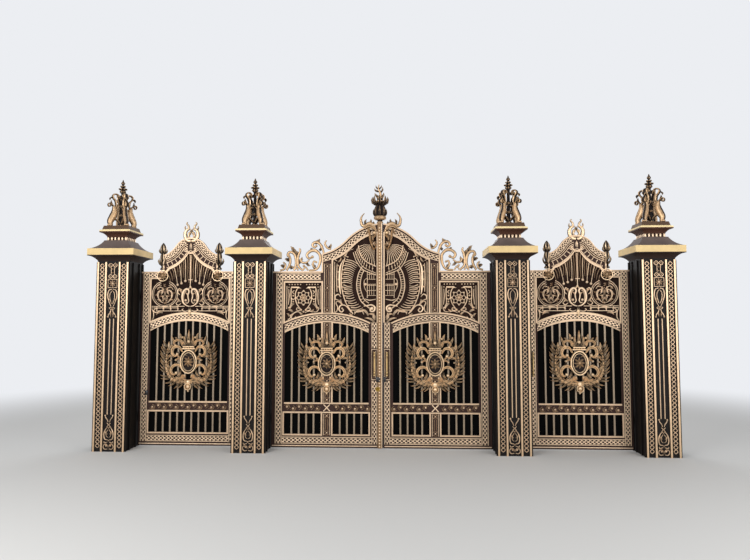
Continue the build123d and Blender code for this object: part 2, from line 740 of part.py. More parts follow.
def build_main(side, flipped):
    """One main leaf. The left one also carries the cover strip of the meeting gap."""
    front = MAIN_FRONT
    edge = -RIGHT_MEETING_EDGE if flipped else LEFT_MEETING_EDGE
    outline = main_outline(edge)
    windows = main_windows()
    rims = (outline - main_outline(edge + BEAD_WIDTH, BEAD_WIDTH)) & rect(
        -MAIN_OUTER, edge, TOP_RAIL_HIGH - BEAD_WIDTH, OGEE_APEX
    )
    strip = rect(edge - COVER_WIDTH, edge, FLOOR_GAP, OGEE_APEX)
    cover = Sketch() if flipped else strip
    castings = framed(outline, windows, main_windows(-BEAD_WIDTH), rims, cover, front)
    write(f"main_{side}_frame", castings, flipped)
    sheet = sheet_in(main_outline(edge, SHEET_INSET), front)
    write(f"main_{side}_sheet", [sheet], flipped)
    outer_xs = spread(-WINDOW_OUTER, -MULLION_OUTER, MAIN_BARS)
    inner_xs = spread(-MULLION_INNER, -MEETING_STILE, MAIN_BARS)
    bars = []
    for name, xs in (("outer", outer_xs), ("inner", inner_xs)):
        bars += bars_in(windows[f"foot_{name}"], xs, front)
        bars += bars_in(windows[f"bars_{name}"], xs, front)
    write(f"main_{side}_bars", bars, flipped)
    grilles = [
        grille_in(sun_grille(windows), front),
        grille_in(rosette_grille(windows), front),
    ]
    write(f"main_{side}_grilles", grilles, flipped)
    emblem = Pos(-ARCH_MID, EMBLEM_Z) * emblem_sketch()
    write(f"main_{side}_emblem", [upright(emblem, front - EMBLEM_THICK, front)], flipped)
    middle = front + LEAF_THICK / 2
    open_scrolls = shoulder_scrolls() - outline
    crest = upright(open_scrolls, middle - CREST_THICK / 2, middle + CREST_THICK / 2)
    horn = horn_scroll() & rect(-MULLION_OUTER, -COVER_WIDTH, 0, 2 * OGEE_APEX)
    horn_solid = over_frame(horn, outline, front, HORN_PROUD)
    write(f"main_{side}_cresting", [crest, horn_solid], flipped)
    face = front + BEAD_PROUD
    lockset = [pull_handle(-PULL_X, PULL_Z, face)]
    low = LATCH_Z - LATCH_HEIGHT / 2
    high = LATCH_Z + LATCH_HEIGHT / 2
    if flipped:
        keeper = (edge - KEEPER_WIDTH, edge - EDGE_EASE, face - LATCH_PROUD, face)
        lockset.append(span(*keeper, low, high))
    else:
        top = front - COVER_PROUD
        case = span(edge - LATCH_WIDTH, edge - EDGE_EASE, top - LATCH_PROUD, top, low, high)
        disc = Pos(edge - COVER_WIDTH / 2, LOCK_Z) * RegularPolygon(LOCK_RADIUS, ROUND_SIDES)
        rose = upright(disc, top - LOCK_PROUD, top)
        shim = span(edge - LATCH_WIDTH, edge - COVER_WIDTH, top, face, low, high)
        lockset += [case + shim, rose]
    write(f"main_{side}_lockset", lockset, flipped)
    pin_x = -MAIN_OPENING / 2 + PIN_SIDE_GAP
    pin_y = front + LEAF_THICK + PIN_BACK
    write(f"main_{side}_hinge_posts", post_hinge(pin_x, pin_y, -MAIN_OPENING / 2), flipped)
    back_y = front + LEAF_THICK - BEAD_PROUD
    write(f"main_{side}_hinge_straps", leaf_hinge(pin_x, pin_y, back_y), flipped)
    if not flipped:
        write("main_left_cover_strip", [upright(strip, front - COVER_PROUD, face)], False)
        finial = crown_finial(edge - COVER_WIDTH / 2, middle)
        write("main_left_crown_finial", [finial], False)


def side_ogee(inset):
    """The space under the ogee pediment of a side leaf, left half."""
    points = [
        (-PEDIMENT_HALF, PEDIMENT_FOOT),
        (-PEDIMENT_WAIST_X, PEDIMENT_WAIST_Z),
        (0, PEDIMENT_TOP),
    ]
    half = under_ogee(points, (1, 0.25), inset, PEDIMENT_HALF, SIDE_TOP_LOW)
    return half & rect(-2 * PEDIMENT_HALF, 0, 0, 2 * PEDIMENT_TOP)


def side_outline(inset=0.0):
    """The outline of a side leaf about its own middle."""
    wide = SIDE_HALF - inset
    step = PEDIMENT_HALF - inset
    body = rect(-wide, wide, FLOOR_GAP + inset, SIDE_TOP_HIGH - inset)
    return body + both_sides(side_ogee(inset) & rect(-step, 0, SIDE_TOP_LOW, 2 * PEDIMENT_TOP))


def side_windows(inset=0.0):
    """The lower, middle and upper windows of a side leaf."""
    wide = SIDE_WINDOW - inset
    low = BOTTOM_RAIL_TOP + inset
    spring = SIDE_ARCH_CROWN - ARCH_RISE
    arch = under_arch(SIDE_WINDOW, SIDE_ARCH_CROWN - inset, ARCH_RISE, 0, low)
    crown = SIDE_ARCH_CROWN + SIDE_ARCH_BAND + inset
    over = under_arch(SIDE_WINDOW + BEAD_WIDTH, crown, ARCH_RISE, 0, 0)
    rail = SIDE_TOP_LOW - inset
    foot = (-FAN_FOOT_HALF + inset, FAN_FOOT - inset)
    top = (-FAN_TOP_HALF, FAN_TOP - inset)
    boss = -PEDIMENT_HALF + inset
    half = make_face(
        Curve()
        + [
            Line((0, spring), (-wide, spring)),
            Line((-wide, spring), (-wide, rail)),
            Line((-wide, rail), (boss, rail)),
            Line((boss, rail), foot),
            TangentArc(foot, top, tangent=(1, 0.35)),
            Line(top, (0, FAN_TOP - inset)),
            Line((0, FAN_TOP - inset), (0, spring)),
        ]
    )
    return {
        "foot": rect(-wide, wide, low, LOCK_RAIL_LOW - inset),
        "bars": arch & rect(-wide, wide, LOCK_RAIL_HIGH + inset, OGEE_APEX),
        "fan": both_sides(half) - over,
    }


def fan_grille(windows):
    """Two rings, a fan of rays and a scrolled heart over two rods."""
    line = GRILLE_LINE
    field = both_sides(ring(-RING_X, RING_Z, RING_RADIUS, 1.3 * line))
    hub = RING_Z - RING_RADIUS / 4
    for angle in spread(24, 156, FAN_RAYS):
        field += ray(0, hub, angle, 0.6 * RING_RADIUS, 4 * RING_RADIUS, line)
    field += ring(0, hub, 0.7 * RING_RADIUS, 1.3 * line)
    for z in (RING_Z - 0.95 * RING_RADIUS, RING_Z - 1.3 * RING_RADIUS):
        field += rect(-SIDE_WINDOW, SIDE_WINDOW, z - line / 2, z + line / 2)
    rim = windows["fan"] - side_windows(line)["fan"]
    return (field & windows["fan"]) + rim


def peak_figures():
    """The pair of curled leaves on the peak of a side leaf."""
    parts = [
        ([(-0.2, -0.9), (-1.3, 0.6), (-0.5, 2.0)], (-1, 0.8), [0.7, 0.8, 0.5]),
        ([(-0.5, 1.9), (-1.5, 3.0), (-0.8, 3.7)], (-1, 0.6), [0.5, 0.5, 0.2]),
    ]
    half = Sketch()
    for points, heading, widths in parts:
        half += ribbon(points, heading, widths)
    middle = rect(-0.5, 0.5, -1.0, 0.4)
    return Pos(0, PEDIMENT_TOP) * scale(both_sides(half) + middle, CREST_MODULE)


def pinnacle():
    """A turned bud over a boss."""
    r = PINNACLE_RADIUS
    low = BOSS_Z + BOSS_RADIUS - 4
    h = PINNACLE_TOP - low
    return turned(
        [
            (0.8 * r, low),
            (0.8 * r, low + 0.15 * h),
            (0.45 * r, low + 0.3 * h),
            (0.7 * r, low + 0.45 * h),
            (0.6 * r, low + 0.6 * h),
            (r, low + 0.75 * h),
            (0.8 * r, low + 0.9 * h),
            (0.1 * r, PINNACLE_TOP),
        ]
    )


def build_side(side, flipped):
    """One side leaf, hinged on the outer post."""
    front = SIDE_FRONT
    middle = front + LEAF_THICK / 2
    at = Pos(-SIDE_CENTRE, 0, 0)
    outline = side_outline()
    windows = side_windows()
    rims = (outline - side_outline(BEAD_WIDTH)) & rect(
        -SIDE_HALF, SIDE_HALF, SIDE_TOP_HIGH - BEAD_WIDTH, PEDIMENT_TOP
    )
    castings = framed(outline, windows, side_windows(-BEAD_WIDTH), rims, Sketch(), front)
    write(f"side_{side}_frame", [at * part for part in castings], flipped)
    sheet = sheet_in(side_outline(SHEET_INSET), front)
    write(f"side_{side}_sheet", [at * sheet], flipped)
    xs = spread(-SIDE_WINDOW, SIDE_WINDOW, SIDE_BARS)
    bars = bars_in(windows["foot"], xs, front) + bars_in(windows["bars"], xs, front)
    write(f"side_{side}_bars", [at * bar for bar in bars], flipped)
    write(f"side_{side}_grille", [at * grille_in(fan_grille(windows), front)], flipped)
    emblem = Pos(0, EMBLEM_Z) * emblem_sketch()
    plane = front + BAR_RECESS
    write(f"side_{side}_emblem", [at * upright(emblem, plane - EMBLEM_THICK, plane)], flipped)
    crest = [at * over_frame(peak_figures(), outline, front, HORN_PROUD)]
    for place in (-1, 1):
        x = place * PEDIMENT_HALF
        disc = Pos(x, BOSS_Z) * RegularPolygon(BOSS_RADIUS, ROUND_SIDES)
        bud = Pos(x, middle, 0) * pinnacle() - upright(outline, front, front + LEAF_THICK)
        crest.append(at * (upright(disc, front - HORN_PROUD, front) + bud))
    write(f"side_{side}_crest", crest, flipped)
    face = front + BEAD_PROUD
    pull = pull_handle(SIDE_HALF - PULL_X + POST_GAP, PULL_Z, face)
    write(f"side_{side}_pull", [at * pull], flipped)
    face_x = -SIDE_OPENING / 2
    pin_x = face_x + PIN_SIDE_GAP
    pin_y = front + LEAF_THICK + PIN_BACK
    brackets = post_hinge(pin_x, pin_y, face_x)
    write(f"side_{side}_hinge_posts", [at * part for part in brackets], flipped)
    straps = leaf_hinge(pin_x, pin_y, front + LEAF_THICK - BEAD_PROUD)
    write(f"side_{side}_hinge_straps", [at * part for part in straps], flipped)


os.makedirs("parts", exist_ok=True)
for side_name, is_right in (("left", False), ("right", True)):
    build_posts(side_name, is_right)
    build_main(side_name, is_right)
    build_side(side_name, is_right)
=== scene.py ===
"""Dresses an ornamental cast aluminium gateway: four square posts, a double leaf car gate
under an ogee top and two single leaf side gates. Lengths are metres in the frame of the
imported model, whose origin is the foot of the inner left post. Figures are in millimetres,
apart from the emblem's, which is in hundredths of the emblem's own module."""

import logging
import math
from collections.abc import Mapping, Sequence
from dataclasses import dataclass, field
from enum import Enum
from functools import cache
from typing import ClassVar

import bmesh
import bpy
import numpy as np
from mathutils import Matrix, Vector
from mathutils.geometry import delaunay_2d_cdt


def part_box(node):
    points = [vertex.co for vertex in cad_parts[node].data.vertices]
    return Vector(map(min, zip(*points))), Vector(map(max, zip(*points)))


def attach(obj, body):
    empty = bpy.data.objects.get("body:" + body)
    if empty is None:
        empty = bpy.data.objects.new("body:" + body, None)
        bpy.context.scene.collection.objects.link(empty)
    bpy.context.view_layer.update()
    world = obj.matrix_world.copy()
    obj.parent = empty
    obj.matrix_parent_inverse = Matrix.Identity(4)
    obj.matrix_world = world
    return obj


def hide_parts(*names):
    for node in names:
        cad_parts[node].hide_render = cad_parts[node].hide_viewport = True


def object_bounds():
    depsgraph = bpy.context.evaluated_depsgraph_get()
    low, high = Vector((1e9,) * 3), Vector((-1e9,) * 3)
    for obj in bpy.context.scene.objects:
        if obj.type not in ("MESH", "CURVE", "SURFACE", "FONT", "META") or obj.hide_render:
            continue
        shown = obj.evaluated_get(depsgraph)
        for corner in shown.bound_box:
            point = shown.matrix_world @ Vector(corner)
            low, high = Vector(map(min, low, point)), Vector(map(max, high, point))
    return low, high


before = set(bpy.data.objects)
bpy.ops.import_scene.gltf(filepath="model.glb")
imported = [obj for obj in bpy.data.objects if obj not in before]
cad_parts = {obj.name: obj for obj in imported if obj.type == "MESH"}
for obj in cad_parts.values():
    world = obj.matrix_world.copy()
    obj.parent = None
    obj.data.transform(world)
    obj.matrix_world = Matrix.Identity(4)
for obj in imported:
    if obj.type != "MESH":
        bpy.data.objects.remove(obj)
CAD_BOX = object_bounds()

LOG = logging.getLogger("gateway")
MM = 0.001

# Places and sizes that the sub-assemblies share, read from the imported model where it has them
POSTS = ("inner_left", "inner_right", "outer_left", "outer_right")
POST_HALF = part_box("inner_left_post_shaft")[1].x
GATE_CENTRE = (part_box("inner_right_post_shaft")[0].x + POST_HALF) / 2
MAIN_MIDDLE_Y = sum(corner.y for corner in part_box("main_left_sheet")) / 2
SIDE_MIDDLE_Y = sum(corner.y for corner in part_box("side_left_sheet")) / 2
SIDE_OFFSET = abs(sum(corner.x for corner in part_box("side_left_sheet")) / 2 - GATE_CENTRE)
RIB_PROUD = 0.018
LEAF_HALF_THICK = 0.030
PLATE_DEPTH = 0.014
PLATE_OUT = LEAF_HALF_THICK - PLATE_DEPTH
SHEET_OUT = 0.0015
FINIAL_FOOT = 3.530
LOCK_RAIL = 0.6445
LOCK_RAIL_BEADS = (0.573, 0.716)
FOOT_BEAD = 0.052
SCROLL_PITCH = 0.094
SIDES = (-1.0, 1.0)
CLOUD_SCALE = 30.0
SOFT_STEP = {"interpolation_type": "SMOOTHSTEP"}
WORN_SHARE = 0.84

Pair = tuple[float, float]
Shade = tuple[int, int, int]
Strap = tuple[tuple[float, ...], tuple[float, ...]]


def linear(shade: Sequence[float], share: float = 1.0) -> tuple[float, float, float, float]:
    """Turns a display colour of 0 to 255 into a linear colour.

    Args:
        shade: Red, green and blue as seen on a display.
        share: How bright it is, as a share.

    Returns:
        The linear colour with full opacity.
    """
    parts = [value * share / 255 for value in shade]
    low = [p / 12.92 if p <= 0.04045 else ((p + 0.055) / 1.055) ** 2.4 for p in parts]
    return (low[0], low[1], low[2], 1.0)


def smooth(points: Sequence[Pair] | np.ndarray, per: int = 6) -> np.ndarray:
    """Draws a smooth curve through a few points.

    Args:
        points: The points that the curve passes.
        per: Steps from one point to the next.

    Returns:
        The curve as rows of x and z.
    """
    p = np.array(points, float)
    p = np.vstack([2 * p[0] - p[1], p, 2 * p[-1] - p[-2]])
    rows = []
    for i in range(1, len(p) - 2):
        for t in np.linspace(0, 1, per, endpoint=False):
            b = (p[i + 1] - p[i - 1]) * t
            c = (2 * p[i - 1] - 5 * p[i] + 4 * p[i + 1] - p[i + 2]) * t**2
            d = (3 * p[i] - p[i - 1] - 3 * p[i + 1] + p[i + 2]) * t**3
            rows.append(p[i] + (b + c + d) / 2)
    rows.append(p[-2])
    return np.array(rows)


def volute(centre: Pair, r0: float, r1: float, start: float, turns: float) -> np.ndarray:
    """Draws a spiral from its outside to its eye.

    Args:
        centre: The eye of the spiral.
        r0: Radius where it starts.
        r1: Radius where it ends.
        start: Angle where it starts, in degrees.
        turns: Turns to the eye, negative when it runs clockwise.

    Returns:
        The spiral as rows of x and z.
    """
    share = np.linspace(0, 1, max(8, int(abs(turns) * 16)))
    angle = math.radians(start) + share * turns * 2 * math.pi
    radius = r0 * (r1 / r0) ** share
    return np.stack([centre[0] + radius * np.cos(angle), centre[1] + radius * np.sin(angle)], 1)


def turned(arm: np.ndarray, angles: np.ndarray) -> np.ndarray:
    """Turns an arm of x and z by each of some angles in radians."""
    c, s = np.cos(angles), np.sin(angles)
    return np.stack([arm[0] * c - arm[1] * s, arm[0] * s + arm[1] * c], 1)


def slope(foot: Pair, waist: Pair, top: Pair, rise: float) -> np.ndarray:
    """Draws an ogee of two arcs that meet in one direction.

    Args:
        foot: Where it starts.
        waist: Where the arcs meet.
        top: Where it ends.
        rise: How steeply it starts, upwards for one outwards.

    Returns:
        The ogee as rows of x and z.
    """
    heading = np.array((np.sign(top[0] - foot[0]), rise))
    rows = []
    for start, end in ((foot, waist), (waist, top)):
        heading = heading / np.hypot(*heading)
        normal = np.array([-heading[1], heading[0]])
        chord = np.array(end) - np.array(start)
        centre = np.array(start) + normal * (chord @ chord / (2 * chord @ normal))
        turn = np.linspace(0, 2 * math.atan2(chord @ normal, chord @ heading), 22)
        rows.append(centre + turned(np.array(start) - centre, turn))
        heading = turned(heading, turn)[-1]
    return np.vstack([rows[0], rows[1][1:]])


def moved_aside(line: np.ndarray, distance: float) -> np.ndarray:
    """Moves a line to its right by a distance.

    Args:
        line: Rows of x and z.
        distance: How far to move it.

    Returns:
        The moved line.
    """
    along = np.gradient(line, axis=0)
    along /= np.linalg.norm(along, axis=1)[:, None]
    return line + np.stack([along[:, 1], -along[:, 0]], 1) * distance


def arch(half: float, crown: float, rise: float, centre: float = 0.0) -> np.ndarray:
    """Draws a segmental arch from left to right.

    Args:
        half: Half of its span.
        crown: Height of its crown.
        rise: Height of the crown over its ends.
        centre: Where its middle is.

    Returns:
        The arch as rows of x and z.
    """
    radius = (half**2 + rise**2) / (2 * rise)
    x = np.linspace(-half, half, 33)
    return np.stack([x + centre, crown - radius + np.sqrt(radius**2 - x**2)], 1)


def circle(centre: Pair, radius: float, steps: int = 25) -> np.ndarray:
    """Draws a closed ring about a centre."""
    turn = np.linspace(0, 2 * np.pi, steps)
    return np.array(centre) + radius * np.stack([np.cos(turn), np.sin(turn)], 1)


@dataclass(frozen=True)
class Face:
    """A flat place that ornament is laid on, with its own across, out and up."""

    origin: tuple[float, float, float]
    across: tuple[float, float, float] = (1.0, 0.0, 0.0)
    out: tuple[float, float, float] = (0.0, -1.0, 0.0)
    up: tuple[float, float, float] = (0.0, 0.0, 1.0)

    @classmethod
    def spoke(cls, axis: tuple[float, float, float], angle: float) -> "Face":
        """Gives the upright face whose across runs out from an axis at an angle in radians."""
        c, s = math.cos(angle), math.sin(angle)
        return cls(axis, (c, s, 0.0), (-s, c, 0.0))

    def place(self, x: np.ndarray | float, z: np.ndarray | float, h: np.ndarray | float) -> np.ndarray:
        """Gives the points that lie across, up and out of the face.

        Args:
            x: Distances across.
            z: Distances up.
            h: Distances out.

        Returns:
            The points, with a last axis of three.
        """
        parts, axes = np.broadcast_arrays(x, z, h), (self.across, self.up, self.out)
        spread = sum(part[..., None] * np.array(axis) for part, axis in zip(parts, axes))
        return spread + np.array(self.origin)


class Section(Enum):
    """Cross-sections of a strap, as half widths and heights from one edge round to the other."""

    ROUND = ((-1, 0), (-0.8, 0.62), (-0.3, 0.97), (0.3, 0.97), (0.8, 0.62), (1, 0))
    GROOVED = ((-1, 0), (-0.88, 0.8), (-0.55, 1), (0, 0.5), (0.55, 1), (0.88, 0.8), (1, 0))
    LEAF = ((-1, 0), (-0.9, 0.4), (-0.4, 0.85), (0, 0.5), (0.4, 0.85), (0.9, 0.4), (1, 0))
    FREE = ((-1, 0), (-0.7, 0.7), (0, 1), (0.7, 0.7), (1, 0), (0.7, -0.7), (0, -1), (-0.7, -0.7))
    FREE_LEAF = ((-1, 0), (-0.6, 0.8), (0, 0.4), (0.6, 0.8), (1, 0), (0.6, -0.8), (0, -0.4), (-0.6, -0.8))


class Casting:
    """Gathers the closed meshes of one piece, with how proud each point of it stands. Ornament is
    laid on the face that it is turned to."""

    def __init__(self, name: str) -> None:
        """Starts an empty piece.

        Args:
            name: The name that its object gets.
        """
        self.name = name
        self.points: list[np.ndarray] = []
        self.faces: list[tuple[int, ...]] = []
        self.relief: list[np.ndarray] = []
        self.count = 0
        self.face = Face((0.0, 0.0, 0.0))

    def on(self, face: Face) -> "Casting":
        """Turns to the face that the next ornament is laid on, and gives the casting itself."""
        self.face = face
        return self

    def add(self, points: np.ndarray, faces: Sequence[Sequence[int]], relief: np.ndarray) -> None:
        """Adds a mesh.

        Args:
            points: Rows of three coordinates.
            faces: Rows of point numbers.
            relief: How proud each point stands, from 0 to 1.
        """
        start = self.count
        self.points.append(points)
        self.relief.append(np.clip(relief, 0, 1))
        self.faces.extend(tuple(index + start for index in face) for face in faces)
        self.count += len(points)

    def loft(self, rings: np.ndarray, relief: np.ndarray) -> None:
        """Adds a closed skin over rings of points.

        Args:
            rings: Rings of points, all of one length.
            relief: How proud each point stands.
        """
        n, m = rings.shape[:2]
        quads = [
            (i * m + j, i * m + (j + 1) % m, (i + 1) * m + (j + 1) % m, (i + 1) * m + j)
            for i in range(n - 1)
            for j in range(m)
        ]
        ends = [tuple(range(m)), tuple(range((n - 1) * m, n * m))]
        self.add(rings.reshape(-1, 3), quads + ends, np.broadcast_to(relief, rings.shape[:2]).reshape(-1))

    def sweep(
        self, line: np.ndarray, half: np.ndarray, height: np.ndarray,
        section: Section, relief: np.ndarray,
    ) -> None:
        """Skins a line with a cross-section.

        Args:
            line: Rows of x and z on that face.
            half: Half its width at each point of the line.
            height: Its foot and its greatest height at each point.
            section: Its cross-section.
            relief: How bright its crest is rubbed at each point.
        """
        along = np.gradient(line, axis=0)
        along /= np.maximum(np.linalg.norm(along, axis=1)[:, None], 1e-9)
        ring = np.array(section.value, float)
        x = line[:, None, 0] + along[:, None, 1] * half[:, None] * ring[None, :, 0]
        z = line[:, None, 1] - along[:, None, 0] * half[:, None] * ring[None, :, 0]
        h = height[0][:, None] + height[1][:, None] * ring[None, :, 1]
        self.loft(self.face.place(x, z, h), np.abs(ring[None, :, 1]) * relief[:, None])

    def strap(
        self, line: np.ndarray, widths: Sequence[float], rise: float,
        section: Section = Section.ROUND, base: float = 0.0,
    ) -> None:
        """Adds a moulded strap along a line.

        Args:
            line: Rows of x and z on that face.
            widths: Widths from end to end, evenly spaced.
            rise: Its greatest height.
            section: Its cross-section.
            base: How far its foot stands off the face.
        """
        n = len(line)
        half = np.interp(np.linspace(0, 1, n), np.linspace(0, 1, len(widths)), widths) / 2
        height = np.stack([np.full(n, base), rise * np.sqrt(half / half.max())])
        self.sweep(line, half, height, section, np.ones(n))

    def bar(self, ends: tuple[float, float, float, float], width: float, rise: float) -> None:
        """Adds a straight strap.

        Args:
            ends: Its start across and up, then its end across and up.
            width: Its width.
            rise: Its height.
        """
        self.strap(np.linspace(ends[:2], ends[2:], 3), (width,), rise)

    def leaf(
        self, base: Pair, tip: Pair, width: float, rise: float,
        bend: float = 0.0, lobes: int = 1, free: bool = False,
    ) -> None:
        """Adds a lobed leaf with a hollow mid rib.

        Args:
            base: Where it springs from.
            tip: Where its tip is.
            width: Its greatest width.
            rise: Its greatest height.
            bend: How far it bows to its left, as a share of its length.
            lobes: Lobes along each edge.
            free: Whether it is modelled on both sides.
        """
        b, t = np.array(base, float), np.array(tip, float)
        control = (b + t) / 2 + np.array([b[1] - t[1], t[0] - b[0]]) * bend * 2
        s = np.linspace(0, 1, 2 + 4 * lobes)
        u = s[:, None]
        line = b * (1 - u) ** 2 + 2 * control * u * (1 - u) + t * u**2
        full = np.sin(np.pi * (0.12 + 0.88 * s) ** 0.8) ** 0.8
        half = width / 2 * np.maximum(full * (1 - 0.34 * ((s * lobes * 0.999) % 1.0)), 0.06)
        curl = 0.0 if free else 0.3
        height = np.stack([curl * rise * s**2, rise * np.sqrt(np.clip(half / half.max(), 0.1, 1))])
        self.sweep(line, half, height, Section.FREE_LEAF if free else Section.LEAF, 0.55 + 0.6 * s)

    def dome(
        self, centre: Pair, radius: float, rise: float, base: float = 0.0, sides: int = 10,
    ) -> None:
        """Adds a half ball.

        Args:
            centre: Its middle on the face.
            radius: Its radius.
            rise: Its height.
            base: How far its foot stands off the face.
            sides: Its sides round.
        """
        turn = np.linspace(0, 2 * np.pi, sides, endpoint=False)[None, :]
        lift = np.array([0.0, 0.35, 0.7, 0.93, 1.0])[:, None]
        ring = radius * np.sqrt(np.maximum(1 - lift**2, 0.004))
        x, z = centre[0] + ring * np.cos(turn), centre[1] + ring * np.sin(turn)
        self.loft(self.face.place(x, z, base + rise * lift), 0.25 + 0.75 * lift)

    def rosette(
        self, centre: Pair, radius: float, count: int, rise: float, turn: float = 0.0,
    ) -> None:
        """Adds a flower of leaves round a ball.

        Args:
            centre: Its middle.
            radius: How far its leaves reach.
            count: Its leaves.
            rise: Its height.
            turn: The angle of its first leaf, in radians.
        """
        for k in range(count):
            angle = turn + 2 * math.pi * k / count
            tip = (centre[0] + radius * math.cos(angle), centre[1] + radius * math.sin(angle))
            self.leaf(centre, tip, radius * 4.2 / count, rise, 0.06, 2)
        self.dome(centre, radius * 0.34, rise * 1.2)

    def ball(self, centre: Sequence[float], radius: float, sides: int = 8) -> None:
        """Adds a whole ball about a centre."""
        tilt = np.linspace(-np.pi / 2 + 0.1, np.pi / 2 - 0.1, 7)
        self.lathe(centre, [(radius * math.cos(a), radius * math.sin(a)) for a in tilt], sides)

    def lathe(
        self, centre: Sequence[float], profile: Sequence[Pair], sides: int,
        flutes: int = 0, depth: float = 0.0,
    ) -> None:
        """Adds an upright turned form, fluted round where asked.

        Args:
            centre: The foot of its axis.
            profile: Radius and height from the foot up.
            sides: Its sides round.
            flutes: Flutes round it.
            depth: How deep they are, as a share of the radius.
        """
        rows = np.array(profile, float)
        turn = np.linspace(0, 2 * np.pi, sides, endpoint=False)
        wave = 1 - depth * (0.5 - 0.5 * np.cos(turn * flutes))
        radius = rows[:, None, 0] * wave[None, :]
        x, y = centre[0] + radius * np.cos(turn), centre[1] + radius * np.sin(turn)
        parts = np.broadcast_arrays(x, y, centre[2] + rows[:, None, 1])
        near = np.convolve(np.pad(rows[:, 0], 1, mode="edge"), np.ones(3) / 3, mode="valid")
        proud = 0.6 + (rows[:, 0] - near) / rows[:, 0].max() * 3.0
        shade = proud[:, None] * (1 - 1.6 * (1 - wave)[None, :] / max(depth, 0.2))
        self.loft(np.stack(parts, -1), shade)

    def block(self, x: Pair, z: Pair, h: Pair, edge: float = 0.002) -> None:
        """Adds a block with worn edges.

        Args:
            x: Its ends across.
            z: Its ends up.
            h: Its foot and its top.
            edge: The width of its chamfer.
        """
        rows = []
        for lift, inset in ((h[0], 0.0), (h[1] - edge, 0.0), (h[1], edge)):
            (a, b), (c, d) = (x[0] + inset, x[1] - inset), (z[0] + inset, z[1] - inset)
            rows.append([(a, c, lift), (b, c, lift), (b, d, lift), (a, d, lift)])
        grid = np.array(rows)
        self.loft(self.face.place(grid[..., 0], grid[..., 1], grid[..., 2]), np.array([[0.1], [0.7], [0.9]]))

    def take(self, mesh: bpy.types.Mesh) -> None:
        """Adds a mesh that a node tree made, and drops the mesh.

        Args:
            mesh: The mesh, with its relief attribute.
        """
        points = np.zeros(len(mesh.vertices) * 3)
        mesh.vertices.foreach_get("co", points)
        relief = np.zeros(len(mesh.vertices))
        mesh.attributes["relief"].data.foreach_get("value", relief)
        self.add(points.reshape(-1, 3), [tuple(p.vertices) for p in mesh.polygons], relief)
        bpy.data.meshes.remove(mesh)

    def shape(self, weld: float = 0.0, whole: bool = True) -> bpy.types.Object:
        """Makes an object outside the scene, with its faces outwards.

        Args:
            weld: Distance under which points are joined.
            whole: Whether open ends are closed.

        Returns:
            The object, with a relief value on each point.
        """
        mesh = bpy.data.meshes.new(self.name)
        mesh.from_pydata(np.concatenate(self.points).tolist(), [], self.faces)
        layer = mesh.attributes.new("relief", "FLOAT", "POINT")
        layer.data.foreach_set("value", np.concatenate(self.relief).astype(np.float32))
        work = bmesh.new()
        work.from_mesh(mesh)
        if weld:
            bmesh.ops.remove_doubles(work, verts=work.verts[:], dist=weld)
        if weld and whole:
            bmesh.ops.holes_fill(work, edges=[e for e in work.edges if e.is_boundary], sides=0)
        bmesh.ops.recalc_face_normals(work, faces=work.faces[:])
        work.to_mesh(mesh)
        work.free()
        mesh.shade_smooth()
        mesh.set_sharp_from_angle(angle=math.radians(48))
        return bpy.data.objects.new(self.name, mesh)

    def finish(
        self, material: bpy.types.Material, body: str, slot: str = "champagne_gold",
        replaced: Sequence[str] = (), weld: float = 0.0,
    ) -> None:
        """Turns what was gathered into a piece of the gateway.

        Args:
            material: Its finish.
            body: The body that it moves with.
            slot: Not used.
            replaced: The nodes that it stands for.
            weld: Distance under which points are joined.
        """
        piece = self.shape(weld)
        bpy.context.scene.collection.objects.link(piece)
        piece.data.materials.append(material)
        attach(piece, body)
        if replaced:
            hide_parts(*replaced)
        LOG.info("%s: %d faces on %s", self.name, len(piece.data.polygons), body)


@dataclass(frozen=True)
class Figure:
    """The drawing of one ornament in millimetres. A strap has widths and the points that it
    passes, a leaf its base, tip, width, bend and lobes, and a ball its place and radius. All its
    widths are multiplied by bold."""

    straps: Sequence[Strap] = ()
    leaves: Sequence[tuple[float, ...]] = ()
    balls: Sequence[tuple[float, ...]] = ()
    section: Section = Section.ROUND
    bold: float = 1.0

    def draw(
        self, casting: Casting, rise: float, at: Pair = (0.0, 0.0), flip: Pair = (1.0, 1.0),
    ) -> None:
        """Casts the ornament.

        Args:
            casting: The piece that takes it, turned to the face that it lies on.
            rise: Its greatest height, half its thickness where it is free.
            at: The place of its own origin.
            flip: Its size across and up, negative where it is mirrored.
        """
        free = self.section is Section.FREE
        scale = np.array(flip) * MM
        size = abs(flip[0]) * MM * self.bold
        hand = math.copysign(1.0, flip[0] * flip[1])
        for widths, path in self.straps:
            rows = np.array(path).reshape(-1, 2) * scale + at
            casting.strap(smooth(rows), np.array(widths) * size, rise, self.section)
        for x0, z0, x1, z1, width, bend, lobes in self.leaves:
            ends = np.array(((x0, z0), (x1, z1))) * scale + at
            casting.leaf(ends[0], ends[1], width * size, rise, bend * hand, int(lobes), free)
        for x, z, radius in self.balls:
            place = np.array((x, z)) * scale + at
            if free:
                casting.ball(casting.face.place(place[0], place[1], 0.0), radius * size)
            else:
                casting.dome(place, radius * size, rise + 0.004, sides=8)


def placed(name: str, data: bpy.types.ID) -> bpy.types.Object:
    """Makes an object and links it to the scene.

    Args:
        name: Its name.
        data: Its mesh, curve, lamp or camera.

    Returns:
        The object.
    """
    made = bpy.data.objects.new(name, data)
    bpy.context.scene.collection.objects.link(made)
    return made


def painted(name: str) -> bpy.types.Material:
    """Starts a material whose shader node is named shader and whose output node is named end.

    Args:
        name: Its name.

    Returns:
        The material.
    """
    made = bpy.data.materials.new(name)
    made.use_nodes = True
    made.node_tree.nodes["Principled BSDF"].name = "shader"
    made.node_tree.nodes["Material Output"].name = "end"
    return made


